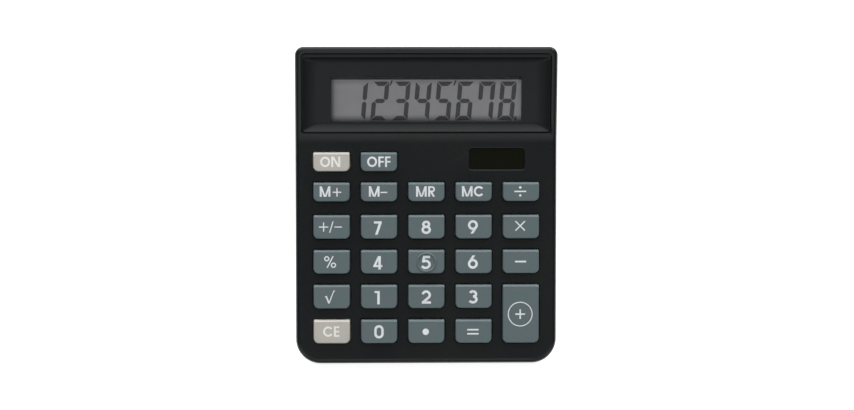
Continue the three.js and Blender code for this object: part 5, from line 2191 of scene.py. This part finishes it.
@dataclass
class Studio:
    """A plain pale floor, soft light from all round and a camera almost straight above."""

    target: tuple[float, float, float] = (0.56 * MM, 0.45 * MM, 5.6 * MM)
    height: float = 1.0
    sideways: float = 29 * MM
    roll: float = math.radians(-0.12)
    sensor: float = 36.0
    focal_pixels: float = 2453.0
    image_width: float = 854.0
    floor_size: float = 12.0
    floor_glow: float = 0.75
    floor_shade: float = 0.8
    bands: tuple[tuple[float, float], ...] = (
        (-2.0, 0.15),
        (-1.5, 0.15),
        (-1.1, 0.95),
        (-0.31, 0.95),
        (-0.25, 0.03),
        (-0.12, 0.03),
        (0.1, 0.9),
        (0.5, 1.1),
        (2.0, 2.1),
    )
    side_span: tuple[float, float, float, float] = (0.1, 0.85, 1.0, 0.05)
    horizon_span: tuple[float, float, float, float] = (0.05, 0.25, 0.35, 0.0)
    lowest_tilt: float = 0.05
    rear_lamp: Lamp = Lamp("rear lamp", (0.0, 1.5, 0.28), (1.6, 0.56), 22.0, mirrored=False)
    corner_lamps: tuple[Lamp, ...] = (
        Lamp("rear corner lamp", (-0.85, 0.85, 0.95), (0.3, 0.3), 3.2),
        Lamp("front corner lamp", (-0.9, -0.9, 0.9), (0.5, 0.5), 1.0),
    )

    def build(self) -> None:
        """Sets up camera, floor, world and lamps."""
        bpy.context.scene.view_settings.view_transform = "Standard"
        self.camera()
        self.floor()
        self.world()
        self.lamps()

    def camera(self) -> None:
        """Puts the camera above the calculator, looking down with the rear edge at the top."""
        data = bpy.data.cameras.new("camera")
        data.sensor_width = self.sensor
        data.lens = self.sensor * self.focal_pixels / self.image_width
        camera = show("camera", data)
        camera.location = (self.target[0] - self.sideways, self.target[1], self.height)
        camera.rotation_euler.y = -math.atan2(self.sideways, self.height - self.target[2])
        camera.rotation_euler.z = self.roll
        bpy.context.scene.camera = camera

    def floor(self) -> None:
        """Lays a white floor that keeps the object's shadow."""
        half = self.floor_size / 2
        mesh = bpy.data.meshes.new("floor")
        corners = [(-half, -half, 0.0), (half, -half, 0.0), (half, half, 0.0), (-half, half, 0.0)]
        mesh.from_pydata(corners, [], [(0, 1, 2, 3)])
        floor = show("floor", mesh)
        material = bpy.data.materials.new("floor")
        nodes, output = shading(material, "Material")
        path = nodes.add("ShaderNodeLightPath").outputs
        seen = nodes.math("MAXIMUM", path["Is Camera Ray"], path["Is Glossy Ray"])
        seen = nodes.math("MAXIMUM", seen, path["Is Transmission Ray"])
        white, shade = (1.0, 1.0, 1.0, 1.0), (*(self.floor_shade,) * 3, 1.0)
        glow = nodes.add("ShaderNodeEmission", {"Color": white, "Strength": self.floor_glow})
        matt = nodes.add("ShaderNodeBsdfDiffuse", {"Color": shade})
        both = nodes.add("ShaderNodeAddShader", {0: glow.outputs[0], 1: matt.outputs[0]})
        mixed = nodes.add("ShaderNodeMixShader", {0: seen, 1: matt.outputs[0], 2: both.outputs[0]})
        nodes.feed(output, mixed.outputs[0])
        mesh.materials.append(material)

    def world(self) -> None:
        """Lights the scene softly, brighter near the horizon than overhead."""
        world = bpy.data.worlds.new("soft room")
        bpy.context.scene.world = world
        nodes, output = shading(world, "World")
        axes = nodes.axes("Generated")
        tilt = nodes.math("DIVIDE", axes["Y"], nodes.math("MAXIMUM", axes["Z"], self.lowest_tilt))
        low, high = self.bands[0][0], self.bands[-1][0]
        ramp = nodes.add("ShaderNodeValToRGB", {0: nodes.span(tilt, low, high, 0.0, 1.0)})
        stops = ramp.color_ramp.elements
        while len(stops) < len(self.bands):
            stops.new(0.5)
        for stop, (place, light) in zip(stops, self.bands):
            stop.position = (place - low) / (high - low)
            stop.color = (light, light, light, 1.0)
        side = nodes.span(nodes.math("ABSOLUTE", axes["X"]), *self.side_span)
        rim = nodes.span(axes["Z"], *self.horizon_span)
        light = nodes.math("MAXIMUM", nodes.math("MULTIPLY", ramp.outputs[0], side), rim)
        path = nodes.add("ShaderNodeLightPath").outputs
        lit = nodes.math("MAXIMUM", light, path["Is Camera Ray"])
        glow = nodes.add("ShaderNodeBackground", {"Color": (1.0, 1.0, 1.0, 1.0), "Strength": lit})
        nodes.feed(output, glow.outputs[0])

    def lamps(self) -> None:
        """Hangs a large soft lamp behind the calculator and weaker ones beside it, left and right."""
        self.rear_lamp.hang()
        for side in (1, -1):
            for lamp in self.corner_lamps:
                x, y, z = lamp.place
                replace(lamp, place=(x * side, y, z)).hang()


CASE_SCREWS = ScrewSet(
    name="case_screws",
    nodes=tuple(f"case_screw_{corner}" for corner in CORNERS),
    head_radius=2.1 * MM,
    head_height=1.3 * MM,
    shank_radius=1.0 * MM,
    pitch=0.9 * MM,
)
COVER_SCREW = ScrewSet(
    name="cover_screw",
    nodes=("battery_cover_screw",),
    head_radius=1.7 * MM,
    head_height=0.8 * MM,
    shank_radius=0.8 * MM,
    pitch=0.7 * MM,
)


def main() -> None:
    """Builds the calculator and its studio."""
    logging.basicConfig(level=logging.INFO, format="%(message)s")
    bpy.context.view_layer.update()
    Studio().build()
    case = CaseForm()
    keys = KeyField(case)
    bezel = Bezel(case)
    keys.build()
    bezel.build()
    Figures(case).build()
    UpperHousing(case, keys, bezel).build()
    LowerHousing(case).build()
    BatteryDoor().build()
    tree = ScrewTree()
    CASE_SCREWS.build(tree)
    COVER_SCREW.build(tree)
    Feet().build()
    Keypad(keys).build()
    Inside().build()


if __name__ == "__main__":
    main()
